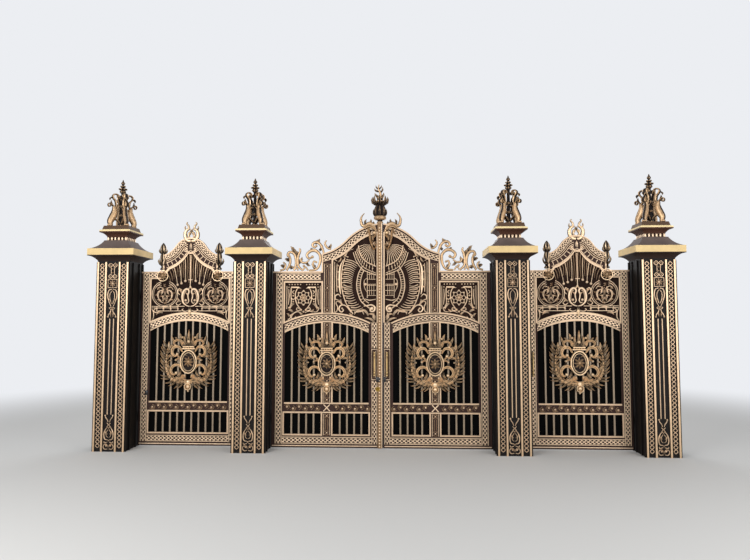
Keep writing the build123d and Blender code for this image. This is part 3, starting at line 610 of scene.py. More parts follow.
def new_tree(name: str, kind: str, wants: Mapping[str, str], gives: Mapping[str, str]) -> bpy.types.NodeTree:
    """Starts a node tree with named inputs and outputs.

    Args:
        name: Its name.
        kind: Its type.
        wants: The kinds of its inputs by name.
        gives: The kinds of its outputs by name.

    Returns:
        The tree.
    """
    tree = bpy.data.node_groups.new(name, kind)
    for way, sockets in (("INPUT", wants), ("OUTPUT", gives)):
        for label, socket in sockets.items():
            tree.interface.new_socket(label, in_out=way, socket_type=f"NodeSocket{socket}")
    tree.nodes.new("NodeGroupInput").name = "in"
    tree.nodes.new("NodeGroupOutput").name = "out"
    return tree


def wire(
    tree: bpy.types.NodeTree, nodes: Mapping[str, tuple[str, Mapping]], links: str,
) -> bpy.types.NodeTree:
    """Adds nodes to a tree and joins them.

    Args:
        tree: The tree.
        nodes: For each short name the node's type, and its settings and input values.
        links: The links, as name.output > name.input, with semicolons between those on one line.

    Returns:
        The tree.
    """
    for name, (kind, values) in nodes.items():
        node = tree.nodes.new(kind) if kind else tree.nodes[name]
        node.name = name
        for key, value in values.items():
            if isinstance(key, str) and hasattr(node, key):
                setattr(node, key, value)
            else:
                node.inputs[key].default_value = value
    for link in links.replace(";", "\n").strip().splitlines():
        (start, given), (end, taken) = (side.strip().split(".") for side in link.split(" > "))
        source = tree.nodes[start].outputs[int(given) if given.isdigit() else given]
        target = tree.nodes[end].inputs[int(taken) if taken.isdigit() else taken]
        tree.links.new(source, target)
    return tree


@cache
def row_tree() -> bpy.types.NodeTree:
    """Makes the tree that repeats a cast piece along a straight row.

    Returns:
        The tree, with inputs Piece, Start, Step, Count and Finish.
    """
    wants = {"Geometry": "Geometry", "Piece": "Object", "Start": "Vector", "Step": "Vector"}
    wants |= {"Count": "Int", "Finish": "Material"}
    nodes = {
        "line": ("GeometryNodeMeshLine", {}),
        "piece": ("GeometryNodeObjectInfo", {}),
        "copies": ("GeometryNodeInstanceOnPoints", {}),
        "real": ("GeometryNodeRealizeInstances", {}),
        "dress": ("GeometryNodeSetMaterial", {}),
    }
    links = """
        in.Count > line.Count; in.Start > line.Start Location; in.Step > line.Offset; in.Piece > piece.Object
        line.Mesh > copies.Points; piece.Geometry > copies.Instance; copies.Instances > real.Geometry
        real.Geometry > dress.Geometry; in.Finish > dress.Material; dress.Geometry > out.Geometry
    """
    tree = new_tree("row_of_castings", "GeometryNodeTree", wants, {"Geometry": "Geometry"})
    return wire(tree, nodes, links)


@cache
def band_tree() -> bpy.types.NodeTree:
    """Makes the tree that bends a row of cells along a curve.

    Returns:
        The tree, with inputs Cell, Pitch, Out and Finish. It starts from the curve.
    """
    wants = {"Geometry": "Geometry", "Cell": "Object", "Pitch": "Float", "Out": "Vector"}
    wants |= {"Finish": "Material"}
    nodes = {
        "length": ("GeometryNodeCurveLength", {}),
        "ratio": ("ShaderNodeMath", {"operation": "DIVIDE"}),
        "whole": ("ShaderNodeMath", {"operation": "ROUND"}),
        "count": ("ShaderNodeMath", {"operation": "MAXIMUM", 1: 1.0}),
        "line": ("GeometryNodeMeshLine", {"Offset": (1.0, 0.0, 0.0)}),
        "cell": ("GeometryNodeObjectInfo", {}),
        "copies": ("GeometryNodeInstanceOnPoints", {}),
        "real": ("GeometryNodeRealizeInstances", {}),
        "place": ("GeometryNodeInputPosition", {}),
        "parts": ("ShaderNodeSeparateXYZ", {}),
        "share": ("ShaderNodeMath", {"operation": "DIVIDE"}),
        "sample": ("GeometryNodeSampleCurve", {"mode": "FACTOR"}),
        "cross": ("ShaderNodeVectorMath", {"operation": "CROSS_PRODUCT"}),
        "unit": ("ShaderNodeVectorMath", {"operation": "NORMALIZE"}),
        "aside": ("ShaderNodeVectorMath", {"operation": "SCALE"}),
        "lift": ("ShaderNodeVectorMath", {"operation": "SCALE"}),
        "beside": ("ShaderNodeVectorMath", {"operation": "ADD"}),
        "above": ("ShaderNodeVectorMath", {"operation": "ADD"}),
        "move": ("GeometryNodeSetPosition", {}),
        "dress": ("GeometryNodeSetMaterial", {}),
    }
    links = """
        in.Geometry > length.Curve; length.Length > ratio.0; in.Pitch > ratio.1; ratio.Value > whole.0
        whole.Value > count.0; count.Value > line.Count; in.Cell > cell.Object; line.Mesh > copies.Points
        cell.Geometry > copies.Instance; copies.Instances > real.Geometry; place.Position > parts.Vector
        parts.X > share.0; count.Value > share.1; in.Geometry > sample.Curves; share.Value > sample.Factor
        sample.Tangent > cross.0; in.Out > cross.1; cross.Vector > unit.0; unit.Vector > aside.0
        parts.Y > aside.Scale; in.Out > lift.0; parts.Z > lift.Scale; sample.Position > beside.0
        aside.Vector > beside.1; beside.Vector > above.0; lift.Vector > above.1; real.Geometry > move.Geometry
        above.Vector > move.Position; move.Geometry > dress.Geometry; in.Finish > dress.Material
        dress.Geometry > out.Geometry
    """
    tree = new_tree("band_along_a_curve", "GeometryNodeTree", wants, {"Geometry": "Geometry"})
    return wire(tree, nodes, links)


def grown(tree: bpy.types.NodeTree, values: Mapping[str, object], data: bpy.types.ID) -> bpy.types.Mesh:
    """Runs a geometry node tree once and gives what it makes as a plain mesh.

    Args:
        tree: The tree.
        values: Its inputs by name.
        data: The mesh or curve that it starts from.

    Returns:
        The plain mesh.
    """
    holder = placed("holder", data)
    modifier = holder.modifiers.new("tree", "NODES")
    modifier.node_group = tree
    for item in tree.interface.items_tree:
        if item.in_out == "INPUT" and item.name in values:
            modifier[item.identifier] = values[item.name]
    mesh = bpy.data.meshes.new_from_object(holder.evaluated_get(bpy.context.evaluated_depsgraph_get()))
    holder.modifiers.remove(modifier)
    bpy.data.objects.remove(holder)
    return mesh


@dataclass
class Lattice:
    """A bored lattice band: a gold plate with pairs of holes and single holes between."""

    width: float
    pitch: float
    gold: bpy.types.Material
    spacing: float = 0.046
    pair: Pair = (0.0150, 0.0122)
    single: Pair = (0.0152, 0.0148)
    height: float = 0.010
    border: float = 0.012
    sides: int = 8
    rim: float = 0.002
    cell: bpy.types.Object = field(init=False)

    def __post_init__(self) -> None:
        """Builds one cell, one unit long, with its top, its underside and the walls of its holes."""
        long, edge, n = self.pitch, self.width / 2 - self.border, self.sides
        holes = [(0.25 * long, side * self.spacing / 2, self.pair) for side in SIDES]
        holes.append((0.75 * long, 0.0, self.single))
        top = [(0.0, -edge), (long, -edge), (long, edge), (0.0, edge)]
        low = [(0.0, -self.width / 2), (long, -self.width / 2), (long, self.width / 2), (0.0, self.width / 2)]
        lines = [(0, 1), (1, 2), (2, 3), (3, 0)]
        for cx, cy, (along, across) in holes:
            first = len(top)
            for k in range(n):
                turn = 2 * math.pi * (k + 0.5) / n
                c, s = math.cos(turn), math.sin(turn)
                top.append((cx + (along + self.rim) * c, cy + (across + self.rim) * s))
                low.append((cx + along * c, cy + across * s))
                lines.append((first + k, first + (k + 1) % n))
        bumps = [(0.25 * long, 0.0), (0.75 * long, edge * 0.6), (0.75 * long, -edge * 0.6)]
        net = delaunay_2d_cdt([Vector(p) for p in top + bumps], lines, [], 0, 1e-6)
        rows = [(x, y, self.height) for x, y in top] + [(x, y, self.height + 0.0025) for x, y in bumps]
        under = len(rows)
        rows += [(x, y, 0.0) for x, y in low + bumps]
        shade = [0.1] * 4 + [0.6] * (len(top) - 4) + [1.0] * len(bumps) + [0.0] * under
        faces = []
        for tri in net[2]:
            corners = [net[3][i][0] for i in tri]
            x, y = np.mean([rows[i][:2] for i in corners], axis=0)
            if all(math.hypot((x - cx) / a, (y - cy) / b) > 1.05 for cx, cy, (a, b) in holes):
                faces += [tuple(corners), tuple(under + i for i in reversed(corners))]
        for start in range(4, len(top), n):
            rim = [(start + k, start + (k + 1) % n) for k in range(n)]
            faces += [(a, b, under + b, under + a) for a, b in rim]
        for a, b, side in ((0, 1, -1), (3, 2, 1)):
            ridge = len(rows)
            for share in (0.25, 0.85):
                y = side * (edge + self.border * share)
                rows += [(0.0, y, self.height + 0.004), (long, y, self.height + 0.004)]
            shade += [1.0] * 4
            faces += [(a, b, ridge + 1, ridge), (ridge, ridge + 1, ridge + 3, ridge + 2)]
            faces.append((ridge + 2, ridge + 3, under + b, under + a))
        casting = Casting("lattice_cell")
        casting.add(np.array(rows) / np.array([long, 1.0, 1.0]), faces, np.array(shade))
        self.cell = casting.shape(weld=1e-6, whole=False)

    def lay(self, casting: Casting, line: np.ndarray, within: Sequence[float] = ()) -> None:
        """Lays the band along a line.

        Args:
            casting: The piece that takes it, turned to the face that it lies on.
            line: The middle of the band, as rows of x and z.
            within: The two places across where it is cut off, when it is.
        """
        face = casting.face
        path = face.place(line[:, 0], line[:, 1], 0.0)
        curve = bpy.data.curves.new("path", "CURVE")
        curve.dimensions = "3D"
        spline = curve.splines.new("POLY")
        spline.points.add(len(path) - 1)
        spline.points.foreach_set("co", np.hstack([path, np.ones((len(path), 1))]).ravel())
        values = {"Cell": self.cell, "Pitch": self.pitch, "Out": Vector(face.out), "Finish": self.gold}
        mesh = grown(band_tree(), values, curve)
        work = bmesh.new()
        work.from_mesh(mesh)
        for edge, sign in zip(within, SIDES):
            geometry = [*work.verts, *work.edges, *work.faces]
            cut = {"plane_co": Vector(face.place(edge, 0.0, 0.0)), "plane_no": Vector(face.across) * sign}
            bmesh.ops.bisect_plane(work, geom=geometry, clear_outer=True, **cut)
        work.to_mesh(mesh)
        work.free()
        casting.take(mesh)

    def run(self, casting: Casting, *ends: tuple[float, float, float, float]) -> None:
        """Lays straight bands, each from one place to another."""
        for x0, z0, x1, z1 in ends:
            self.lay(casting, np.linspace((x0, z0), (x1, z1), 2))


@cache
def patina_group() -> bpy.types.NodeTree:
    """Makes the effect of gold rubbed off low places, and the dirt on it.

    Returns:
        The group: Relief, Low, High, Breakup and Scale in, Mask and Grime out.
    """
    wants = {"Relief": "Float", "Low": "Float", "High": "Float", "Breakup": "Float", "Scale": "Float"}
    nodes = {
        "place": ("ShaderNodeTexCoord", {}),
        "cloud": ("ShaderNodeTexNoise", {"Detail": 3.0}),
        "shift": ("ShaderNodeMath", {"operation": "SUBTRACT", 1: 0.5}),
        "size": ("ShaderNodeMath", {"operation": "MULTIPLY"}),
        "total": ("ShaderNodeMath", {"operation": "ADD"}),
        "step": ("ShaderNodeMapRange", SOFT_STEP),
        "dirt": ("ShaderNodeTexNoise", {"Scale": 7.0, "Detail": 6.0}),
    }
    links = """
        place.Object > cloud.Vector; in.Scale > cloud.Scale; cloud.Fac > shift.0; shift.Value > size.0
        in.Breakup > size.1; size.Value > total.0; in.Relief > total.1; total.Value > step.Value
        in.Low > step.From Min; in.High > step.From Max; step.Result > out.Mask; place.Object > dirt.Vector
        dirt.Fac > out.Grime
    """
    tree = new_tree("rubbed_patina", "ShaderNodeTree", wants, {"Mask": "Float", "Grime": "Float"})
    return wire(tree, nodes, links)


@cache
def grain_group() -> bpy.types.NodeTree:
    """Makes the fine skin of a painted casting.

    Returns:
        The group: Scale and Strength in, Normal out.
    """
    nodes = {
        "place": ("ShaderNodeTexCoord", {}),
        "fine": ("ShaderNodeTexNoise", {"Detail": 4.0}),
        "bump": ("ShaderNodeBump", {"Distance": 0.001}),
    }
    links = """
        place.Object > fine.Vector; in.Scale > fine.Scale; in.Strength > bump.Strength; fine.Fac > bump.Height
        bump.Normal > out.Normal
    """
    wants = {"Scale": "Float", "Strength": "Float"}
    tree = new_tree("cast_grain", "ShaderNodeTree", wants, {"Normal": "Vector"})
    return wire(tree, nodes, links)


class Relief(Enum):
    """Where a finish reads how proud a point stands: from its casting, or from its depth."""

    CARVED = "carved"
    DEPTH = "depth"


@dataclass(frozen=True)
class Finish:
    """A painted finish with bright raised places and dark low ones."""

    name: str
    raised: Shade
    low: Shade
    step: Pair = (0.2, 0.6)
    breakup: float = 0.25
    metallic: float = 0.6
    rough: Pair = (0.32, 0.6)
    relief: Relief = Relief.CARVED
    middle_y: float = 0.0
    depth: Pair = (PLATE_OUT, LEAF_HALF_THICK)

    def material(self) -> bpy.types.Material:
        """Builds the finish.

        Returns:
            The material.
        """
        made = painted(self.name)
        rubbed = {"Low": self.step[0], "High": self.step[1], "Scale": CLOUD_SCALE}
        dulled, raised = linear(self.raised, WORN_SHARE), linear(self.raised)
        nodes = {
            "shader": ("", {"Metallic": self.metallic}),
            "patina": ("ShaderNodeGroup", {"node_tree": patina_group(), "Breakup": self.breakup, **rubbed}),
            "grain": ("ShaderNodeGroup", {"node_tree": grain_group(), "Scale": 500.0, "Strength": 0.25}),
            "bright": ("ShaderNodeMix", {"data_type": "RGBA", "A": dulled, "B": raised}),
            "colour": ("ShaderNodeMix", {"data_type": "RGBA", "A": linear(self.low)}),
            "rough": ("ShaderNodeMapRange", {"To Min": self.rough[1], "To Max": self.rough[0]}),
            "worn": ("ShaderNodeMath", {"operation": "MULTIPLY_ADD", 1: 0.12}),
        }
        links = """
            patina.Grime > bright.Factor; patina.Mask > colour.Factor; bright.Result > colour.B
            colour.Result > shader.Base Color; patina.Mask > rough.Value; patina.Grime > worn.0
            rough.Result > worn.2; worn.Value > shader.Roughness; grain.Normal > shader.Normal
        """
        wire(made.node_tree, nodes, links)
        if self.relief is Relief.CARVED:
            read = {"read": ("ShaderNodeAttribute", {"attribute_name": "relief"})}
            wire(made.node_tree, read, "read.Fac > patina.Relief")
            return made
        nodes = {
            "place": ("ShaderNodeTexCoord", {}),
            "centre": ("ShaderNodeMapping", {"Location": (0.0, -self.middle_y, 0.0)}),
            "parts": ("ShaderNodeSeparateXYZ", {}),
            "deep": ("ShaderNodeMath", {"operation": "ABSOLUTE"}),
            "scaled": ("ShaderNodeMapRange", {"From Min": self.depth[0], "From Max": self.depth[1]}),
        }
        links = """
            place.Object > centre.Vector; centre.Vector > parts.Vector; parts.Y > deep.0
            deep.Value > scaled.Value; scaled.Result > patina.Relief
        """
        wire(made.node_tree, nodes, links)
        return made


@dataclass(frozen=True)
class BandedPaint:
    """A paint whose colour changes at fixed heights, with cloudy weathering."""

    name: str
    bands: Sequence[tuple[float, Shade]]
    metallic: float
    rough: float
    specular: float = 0.5

    def material(self) -> bpy.types.Material:
        """Builds the paint.

        Returns:
            The material.
        """
        made = painted(self.name)
        tall = CAD_BOX[1][2]
        nodes = {
            "shader": ("", {"Metallic": self.metallic, "Specular IOR Level": self.specular}),
            "place": ("ShaderNodeTexCoord", {}),
            "parts": ("ShaderNodeSeparateXYZ", {}),
            "height": ("ShaderNodeMapRange", {"From Max": tall}),
            "ramp": ("ShaderNodeValToRGB", {}),
            "patina": ("ShaderNodeGroup", {"node_tree": patina_group(), "Scale": CLOUD_SCALE}),
            "grain": ("ShaderNodeGroup", {"node_tree": grain_group(), "Scale": 300.0, "Strength": 0.2}),
            "shade": ("ShaderNodeMapRange", {"From Min": 0.3, "From Max": 0.7, "To Min": 0.8}),
            "colour": ("ShaderNodeMix", {"data_type": "RGBA", "blend_type": "MULTIPLY", 0: 1.0}),
            "worn": ("ShaderNodeMapRange", {"To Min": self.rough - 0.08, "To Max": self.rough + 0.1}),
        }
        links = """
            place.Object > parts.Vector; parts.Z > height.Value; height.Result > ramp.Fac
            ramp.Color > colour.A; patina.Grime > shade.Value; shade.Result > colour.B
            colour.Result > shader.Base Color; patina.Grime > worn.Value; worn.Result > shader.Roughness
            grain.Normal > shader.Normal
        """
        wire(made.node_tree, nodes, links)
        ramp = made.node_tree.nodes["ramp"].color_ramp
        ramp.interpolation = "CONSTANT"
        ramp.elements.remove(ramp.elements[1])
        for start, shade in self.bands:
            stop = ramp.elements.new(start / tall) if start else ramp.elements[0]
            stop.color = linear(shade)
        return made


@dataclass
class Kit:
    """The finishes and the repeated castings that the sub-assemblies use."""

    gold: bpy.types.Material
    # The next finish is a darker copy of the gold, painting shade on recessed and fine ornament
    painted_shade: bpy.types.Material
    antique: bpy.types.Material
    finial: bpy.types.Material
    brass: bpy.types.Material
    post: bpy.types.Material
    copper: bpy.types.Material
    black: bpy.types.Material

    def row(
        self, casting: Casting, piece: bpy.types.Object, start: Sequence[float], step: float, count: int,
    ) -> None:
        """Repeats a casting up a straight row.

        Args:
            casting: The piece that takes the row.
            piece: What is repeated.
            start: Where the first one is.
            step: The rise from one to the next.
            count: How many there are.
        """
        values = {"Piece": piece, "Start": Vector(start), "Step": Vector((0.0, 0.0, step))}
        values |= {"Count": count, "Finish": self.gold}
        casting.take(grown(row_tree(), values, bpy.data.meshes.new("start")))


# The drawings of the cast ornament. Each is drawn for one side and mirrored for the other
EMBLEM_SIDE = Figure(straps=(
    ((24, 48, 58, 52, 38, 26), (110, 150, 170, 235, 262, 225, 290, 140, 240, 80, 200, 110)),
    ((22, 44, 54, 48, 36, 24), (110, -150, 170, -80, 262, -90, 306, -170, 262, -240, 214, -212)),
    ((22, 38, 44, 38, 24), (70, 250, 120, 330, 206, 352, 262, 310, 236, 262)),
    ((30, 36, 26), (20, -345, 95, -305, 100, -255, 60, -255)),
    ((24, 34, 30, 22), (40, -280, 110, -290, 176, -310, 220, -280)),
    ((18, 30, 20), (120, 20, 180, 34, 222, 10)),
), leaves=(
    (270, 170, 345, 330, 90, -0.2, 3), (250, 60, 352, 60, 76, 0.2, 3), (120, -220, 310, -335, 84, -0.2, 3),
    (160, 330, 170, 480, 74, 0.15, 3), (236, 300, 300, 430, 64, -0.1, 3),
    (290, -120, 372, -60, 66, -0.2, 2), (140, -20, 215, 90, 60, 0.2, 3),
    (140, -160, 196, -262, 60, -0.2, 3), (90, 240, 150, 300, 54, 0.2, 2), (262, 225, 330, 250, 60, 0.2, 3),
    (300, -170, 352, -250, 60, 0.2, 3), (206, 352, 250, 400, 50, 0.2, 2), (200, 150, 150, 60, 52, 0.2, 2),
    (240, -30, 170, -60, 52, 0.2, 2), (60, -300, 160, -380, 60, 0.2, 3),
), balls=(
    (200, 110, 30), (214, -212, 30), (236, 262, 24), (60, -255, 22), (222, 10, 22), (110, 400, 22),
    (320, 0, 17),
), section=Section.GROOVED)

POST_HEAD = Figure(straps=(
    ((12, 16, 16, 12), (36, 8, 68, 40, 36, 72, 5, 40, 34, 9)),
    ((14, 14), (25, 80, 25, 130, 25, 180)),
    ((12, 16, 16, 12), (35, 186, 65, 216, 35, 246, 5, 216, 33, 187)),
    ((12, 12), (72, 262, 72, 330, 72, 398)),
    ((12, 12), (0, 264, 36, 264, 72, 264)),
    ((12, 12), (0, 396, 36, 396, 72, 396)),
    ((14, 20, 22, 16, 12), (12, 420, 58, 440, 74, 520, 52, 610, 18, 690)),
    ((10, 14, 12), (8, 450, 34, 490, 36, 560, 10, 650)),
    ((12, 18, 18, 12), (8, 730, 24, 780, 50, 815, 62, 850)),
    ((10, 14, 10), (4, 700, 44, 716, 8, 744)),
), leaves=(
    (14, 600, 60, 560, 34, 0.2, 2), (10, 860, 14, 780, 30, 0.1, 2),
), balls=(
    (62, 852, 15), (36, 40, 12), (35, 216, 11), (0, 716, 17), (0, 100, 13), (0, 160, 13), (0, 440, 14),
))
POST_FOOT = Figure(straps=(
    ((12, 18, 16, 12), (10, 14, 56, 10, 80, 46, 60, 84, 34, 60)),
    ((12, 18, 16, 12), (12, 120, 60, 106, 70, 130)),
    ((14, 20, 22, 16, 12), (12, 150, 62, 168, 72, 250, 44, 320, 10, 350)),
    ((10, 14, 12), (8, 190, 34, 210, 38, 260, 8, 310)),
    ((12, 16, 12), (30, 350, 0, 380, -30, 410)),
    ((12, 18, 18, 12), (12, 420, 26, 460, 48, 490, 60, 520)),
), leaves=(
    (8, 30, 52, 96, 34, 0.15, 3), (10, 240, 52, 290, 34, -0.2, 2),
), balls=(
    (60, 524, 15), (34, 60, 13), (0, 380, 14), (0, 140, 13), (0, 330, 13),
))
FINIAL_CONSOLE = Figure(straps=(
    ((76, 84, 106, 118, 104, 56), (190, 4, 184, 34, 188, 80, 160, 140, 132, 200, 122, 262, 138, 322)),
    ((22, 20, 17, 12), (138, 322, 168, 352, 206, 372, 226, 352, 216, 322, 190, 324, 186, 346)),
    ((28, 30, 26, 22, 16), (
        128, 300, 106, 350, 116, 420, 150, 462, 156, 505, 118, 530, 78, 520, 70, 494, 90, 484,
    )),
    ((18, 24, 14), (122, 250, 86, 286, 50, 300)),
    ((30, 26, 20), (160, 140, 110, 120, 66, 90, 40, 60)),
), leaves=(
    (184, 60, 128, 215, 62, -0.15, 3), (140, 330, 176, 424, 36, -0.2, 2), (160, 470, 198, 420, 30, 0.3, 2),
), balls=(
    (190, 340, 13), (88, 502, 13),
), section=Section.FREE)
SHOULDER = Figure(straps=(
    ((22, 34, 40, 36, 24), (
        1157, 2826, 1040, 2842, 984, 2930, 975, 3060, 1039, 3138, 1130, 3140, 1190, 3080, 1160, 3020, 1102,
        3044,
    )),
    ((24, 36, 32, 16), (1256, 2826, 1330, 2900, 1335, 3043, 1301, 3143, 1315, 3186)),
    ((18, 30, 24), (1150, 2994, 1207, 2952, 1271, 2959, 1299, 3016)),
    ((26, 38, 34, 24), (
        1400, 2826, 1366, 2940, 1380, 3060, 1421, 3114, 1480, 3120, 1505, 3070, 1470, 3040,
    )),
    ((28, 36, 22), (1520, 2826, 1470, 2920, 1462, 3010, 1484, 3085)),
    ((24, 30, 20), (1625, 2826, 1560, 2850, 1540, 2920, 1575, 2960)),
    ((26, 36, 32, 22), (919, 3110, 940, 3180, 990, 3262, 1060, 3284, 1103, 3238, 1070, 3200, 1040, 3222)),
    ((24, 28, 16), (1000, 3110, 1060, 3160, 1130, 3150)),
    ((22, 30, 14), (800, 3166, 860, 3190, 900, 3260, 872, 3312)),
    ((18, 24, 18), (1170, 2826, 1215, 2880, 1256, 2826)),
    ((18, 24, 18), (1330, 2826, 1360, 2868, 1400, 2826)),
    ((16, 26, 20), (1035, 2850, 1090, 2900, 1080, 2970, 1040, 2960)),
), leaves=(
    (1105, 3140, 1138, 3187, 44, 0.15, 3), (1400, 3080, 1461, 3218, 64, 0.15, 3),
    (1060, 3270, 984, 3339, 56, 0.15, 3), (1480, 2980, 1553, 3010, 54, 0.15, 3),
    (1560, 2880, 1623, 2905, 54, 0.15, 3), (1330, 3040, 1400, 3150, 54, 0.15, 3),
    (1060, 2850, 1120, 2930, 54, 0.15, 3), (1340, 2940, 1270, 3050, 54, 0.15, 3),
    (1430, 2850, 1500, 2900, 54, 0.15, 3), (990, 3150, 940, 3240, 46, 0.15, 3),
    (850, 3180, 800, 3260, 46, 0.15, 3), (1200, 2960, 1130, 2900, 44, 0.15, 2),
), balls=(
    (1102, 3044, 20), (1470, 3040, 18), (1040, 3222, 17), (1040, 2960, 15), (1240, 2900, 16),
    (1420, 2880, 15),
), section=Section.FREE, bold=1.25)
HORN = Figure(straps=(
    ((50, 58, 46, 30, 12), (196, 3560, 260, 3540, 301, 3560, 318, 3630, 308, 3690, 262, 3748)),
    ((60, 68, 58, 42, 28), (250, 3520, 196, 3576, 130, 3560, 90, 3500, 73, 3430, 110, 3400, 126, 3440)),
), leaves=(
    (190, 3560, 159, 3655, 56, 0.15, 3), (240, 3560, 225, 3650, 50, -0.2, 2),
    (300, 3570, 346, 3640, 40, 0.2, 2), (120, 3540, 120, 3620, 44, 0.1, 3),
), section=Section.FREE)
HORN_FACE = Figure(straps=(
    ((40, 60, 50, 30), (260, 3500, 200, 3540, 130, 3520, 85, 3470)),
    ((34, 34, 28, 16), (200, 3500, 178, 3420, 168, 3320, 140, 3220, 105, 3160)),
    ((20, 30, 14), (75, 3400, 110, 3355, 150, 3372)),
    ((16, 20, 14), (72, 3250, 85, 3180, 110, 3155, 150, 3180)),
), leaves=(
    (110, 3400, 120, 3290, 60, 0.1, 3), (150, 3460, 230, 3400, 50, 0.2, 3),
), balls=(
    (100, 3425, 34), (140, 3230, 16),
), section=Section.GROOVED)
ROSETTE_SIDE = Figure(straps=(
    ((10, 20, 22, 20, 14), (40, 156, 96, 150, 132, 60, 120, -60, 74, -148, 24, -196)),
    ((14, 22, 20, 14), (150, 158, 196, 158, 202, 60, 196, -60, 206, -120)),
    ((12, 20, 14), (238, 140, 232, 20, 244, -110)),
    ((14, 22, 16), (60, 162, 110, 166, 150, 160)),
    ((14, 22, 14), (130, 0, 164, -26, 196, -10)),
    ((10, 18, 12), (30, -180, 70, -206, 110, -190, 100, -160, 76, -166)),
    ((10, 18, 14), (150, 60, 176, 90, 150, 120)),
), leaves=(
    (150, -90, 216, -190, 60, 0.2, 3), (60, -170, 20, -215, 36, 0.1, 2),
), balls=(
    (166, 34, 15), (166, -60, 14), (236, -160, 16), (236, 170, 13), (76, -166, 12),
))
ROSETTE_CORNERS = Figure(straps=(
    ((10, 20, 24, 20, 12), (30, -246, 96, -222, 160, -252, 206, -320, 250, -350)),
    ((12, 20, 20, 12), (120, -300, 168, -340, 210, -286, 176, -262)),
    ((10, 18, 14), (-24, -240, -90, -212, -150, -228)),
    ((10, 18, 12), (-160, -226, -214, -222, -246, -180, -226, -160)),
), leaves=(
    (170, -230, 250, -200, 50, 0.2, 3), (60, -222, 10, -262, 44, 0.2, 2),
    (-110, -205, -170, -180, 40, 0.2, 2), (230, -300, 270, -250, 40, 0.2, 2),
), balls=(
    (176, -262, 14), (-226, -160, 13), (0, -222, 18),
))
SUN_FIGURES = Figure(straps=(
    ((20, 28, 34, 30, 22), (270, 2250, 205, 2262, 140, 2268, 92, 2228, 110, 2172, 160, 2168, 172, 2206)),
    ((14, 22, 10), (80, 2360, 180, 2345, 250, 2368)),
    ((10, 32, 42, 32, 14), (598, 3000, 650, 2880, 662, 2700, 655, 2520, 640, 2440)),
    ((14, 22, 16), (700, 2930, 706, 2700, 700, 2480)),
    ((14, 26, 24, 16), (640, 2400, 680, 2440, 728, 2412, 724, 2362, 690, 2356)),
    ((18, 24, 28, 24, 16), (470, 2150, 560, 2256, 640, 2262, 668, 2200, 630, 2156, 596, 2186, 618, 2214)),
    ((12, 22, 18, 12), (735, 2150, 700, 2176, 690, 2240, 716, 2300, 690, 2330, 660, 2310)),
    ((10, 16, 10), (214, 2700, 262, 2660, 262, 2560, 225, 2480)),
    ((14, 22, 14), (420, 2120, 380, 2170, 300, 2170, 270, 2120)),
    ((10, 18, 12), (440, 3170, 520, 3130, 560, 3060, 530, 3040)),
    ((10, 18, 12), (620, 3090, 680, 3060, 730, 3000, 700, 2975)),
), leaves=(
    (85, 2060, 200, 2120, 55, 0.25, 3), (85, 2030, 100, 2150, 55, -0.2, 3),
    (200, 2100, 330, 2190, 55, 0.2, 3), (100, 1990, 260, 2060, 50, 0.15, 3),
    (640, 2360, 600, 2270, 50, 0.2, 3), (700, 2350, 650, 2290, 40, -0.2, 2),
    (610, 3040, 560, 3110, 44, 0.2, 3), (500, 2140, 440, 2110, 40, 0.2, 2),
    (690, 2960, 640, 3040, 40, 0.2, 3),
), balls=(
    (245, 2600, 24), (142, 2212, 32), (682, 2560, 14), (682, 2680, 14), (682, 2800, 14), (682, 2900, 14),
    (618, 2214, 16), (530, 3040, 14),
))
SIDE_RING = Figure(straps=(
    ((12, 20, 22, 16), (20, -150, 70, -120, 110, -50, 100, 30, 60, 60, 40, 20, 66, -6)),
    ((10, 20, 12), (10, 60, 50, 100, 100, 110, 130, 70)),
    ((10, 18, 12), (96, 60, 128, 0, 112, -70)),
    ((10, 16, 10), (12, -100, 40, -60, 20, -20)),
    ((12, 18, 12), (60, 140, 110, 146, 150, 110)),
), leaves=(
    (14, -60, 74, -40, 50, 0.2, 2), (10, 20, 30, 110, 50, -0.2, 3), (60, -130, 140, -100, 50, 0.25, 3),
    (0, -40, 0, 60, 60, 0.0, 3),
), balls=(
    (52, 28, 18), (30, -110, 16), (88, -90, 13), (0, -75, 28), (0, -150, 22), (0, 85, 14), (0, 119, 14),
    (0, 153, 14),
), bold=0.75)
HEART = Figure(straps=(
    ((16, 30, 40, 38, 32, 24, 18, 12), (
        6, 2250, 62, 2266, 118, 2320, 134, 2404, 116, 2486, 76, 2530, 36, 2526, 22, 2486, 38, 2440, 34,
        2386, 24, 2340, 46, 2302, 76, 2314,
    )),
    ((8, 14, 10), (104, 2330, 106, 2410, 88, 2480, 60, 2504)),
    ((10, 18, 12), (150, 2300, 196, 2270, 230, 2300, 206, 2330)),
    ((12, 20, 14), (500, 2176, 560, 2150, 600, 2176, 574, 2216)),
    ((12, 20, 12), (632, 2020, 600, 2080, 606, 2160, 632, 2210)),
    ((12, 20, 14), (170, 2440, 206, 2480, 186, 2540, 150, 2520)),
    ((12, 20, 12), (20, 2190, 80, 2170, 130, 2190, 110, 2214)),
), leaves=(
    (40, 2420, 84, 2470, 36, 0.2, 2), (150, 2330, 206, 2400, 44, -0.2, 3),
    (140, 2460, 196, 2520, 40, 0.2, 2), (450, 2150, 560, 2110, 50, 0.2, 3),
), balls=(
    (74, 2350, 22), (20, 2545, 14), (206, 2330, 13), (150, 2520, 14), (574, 2216, 13),
))
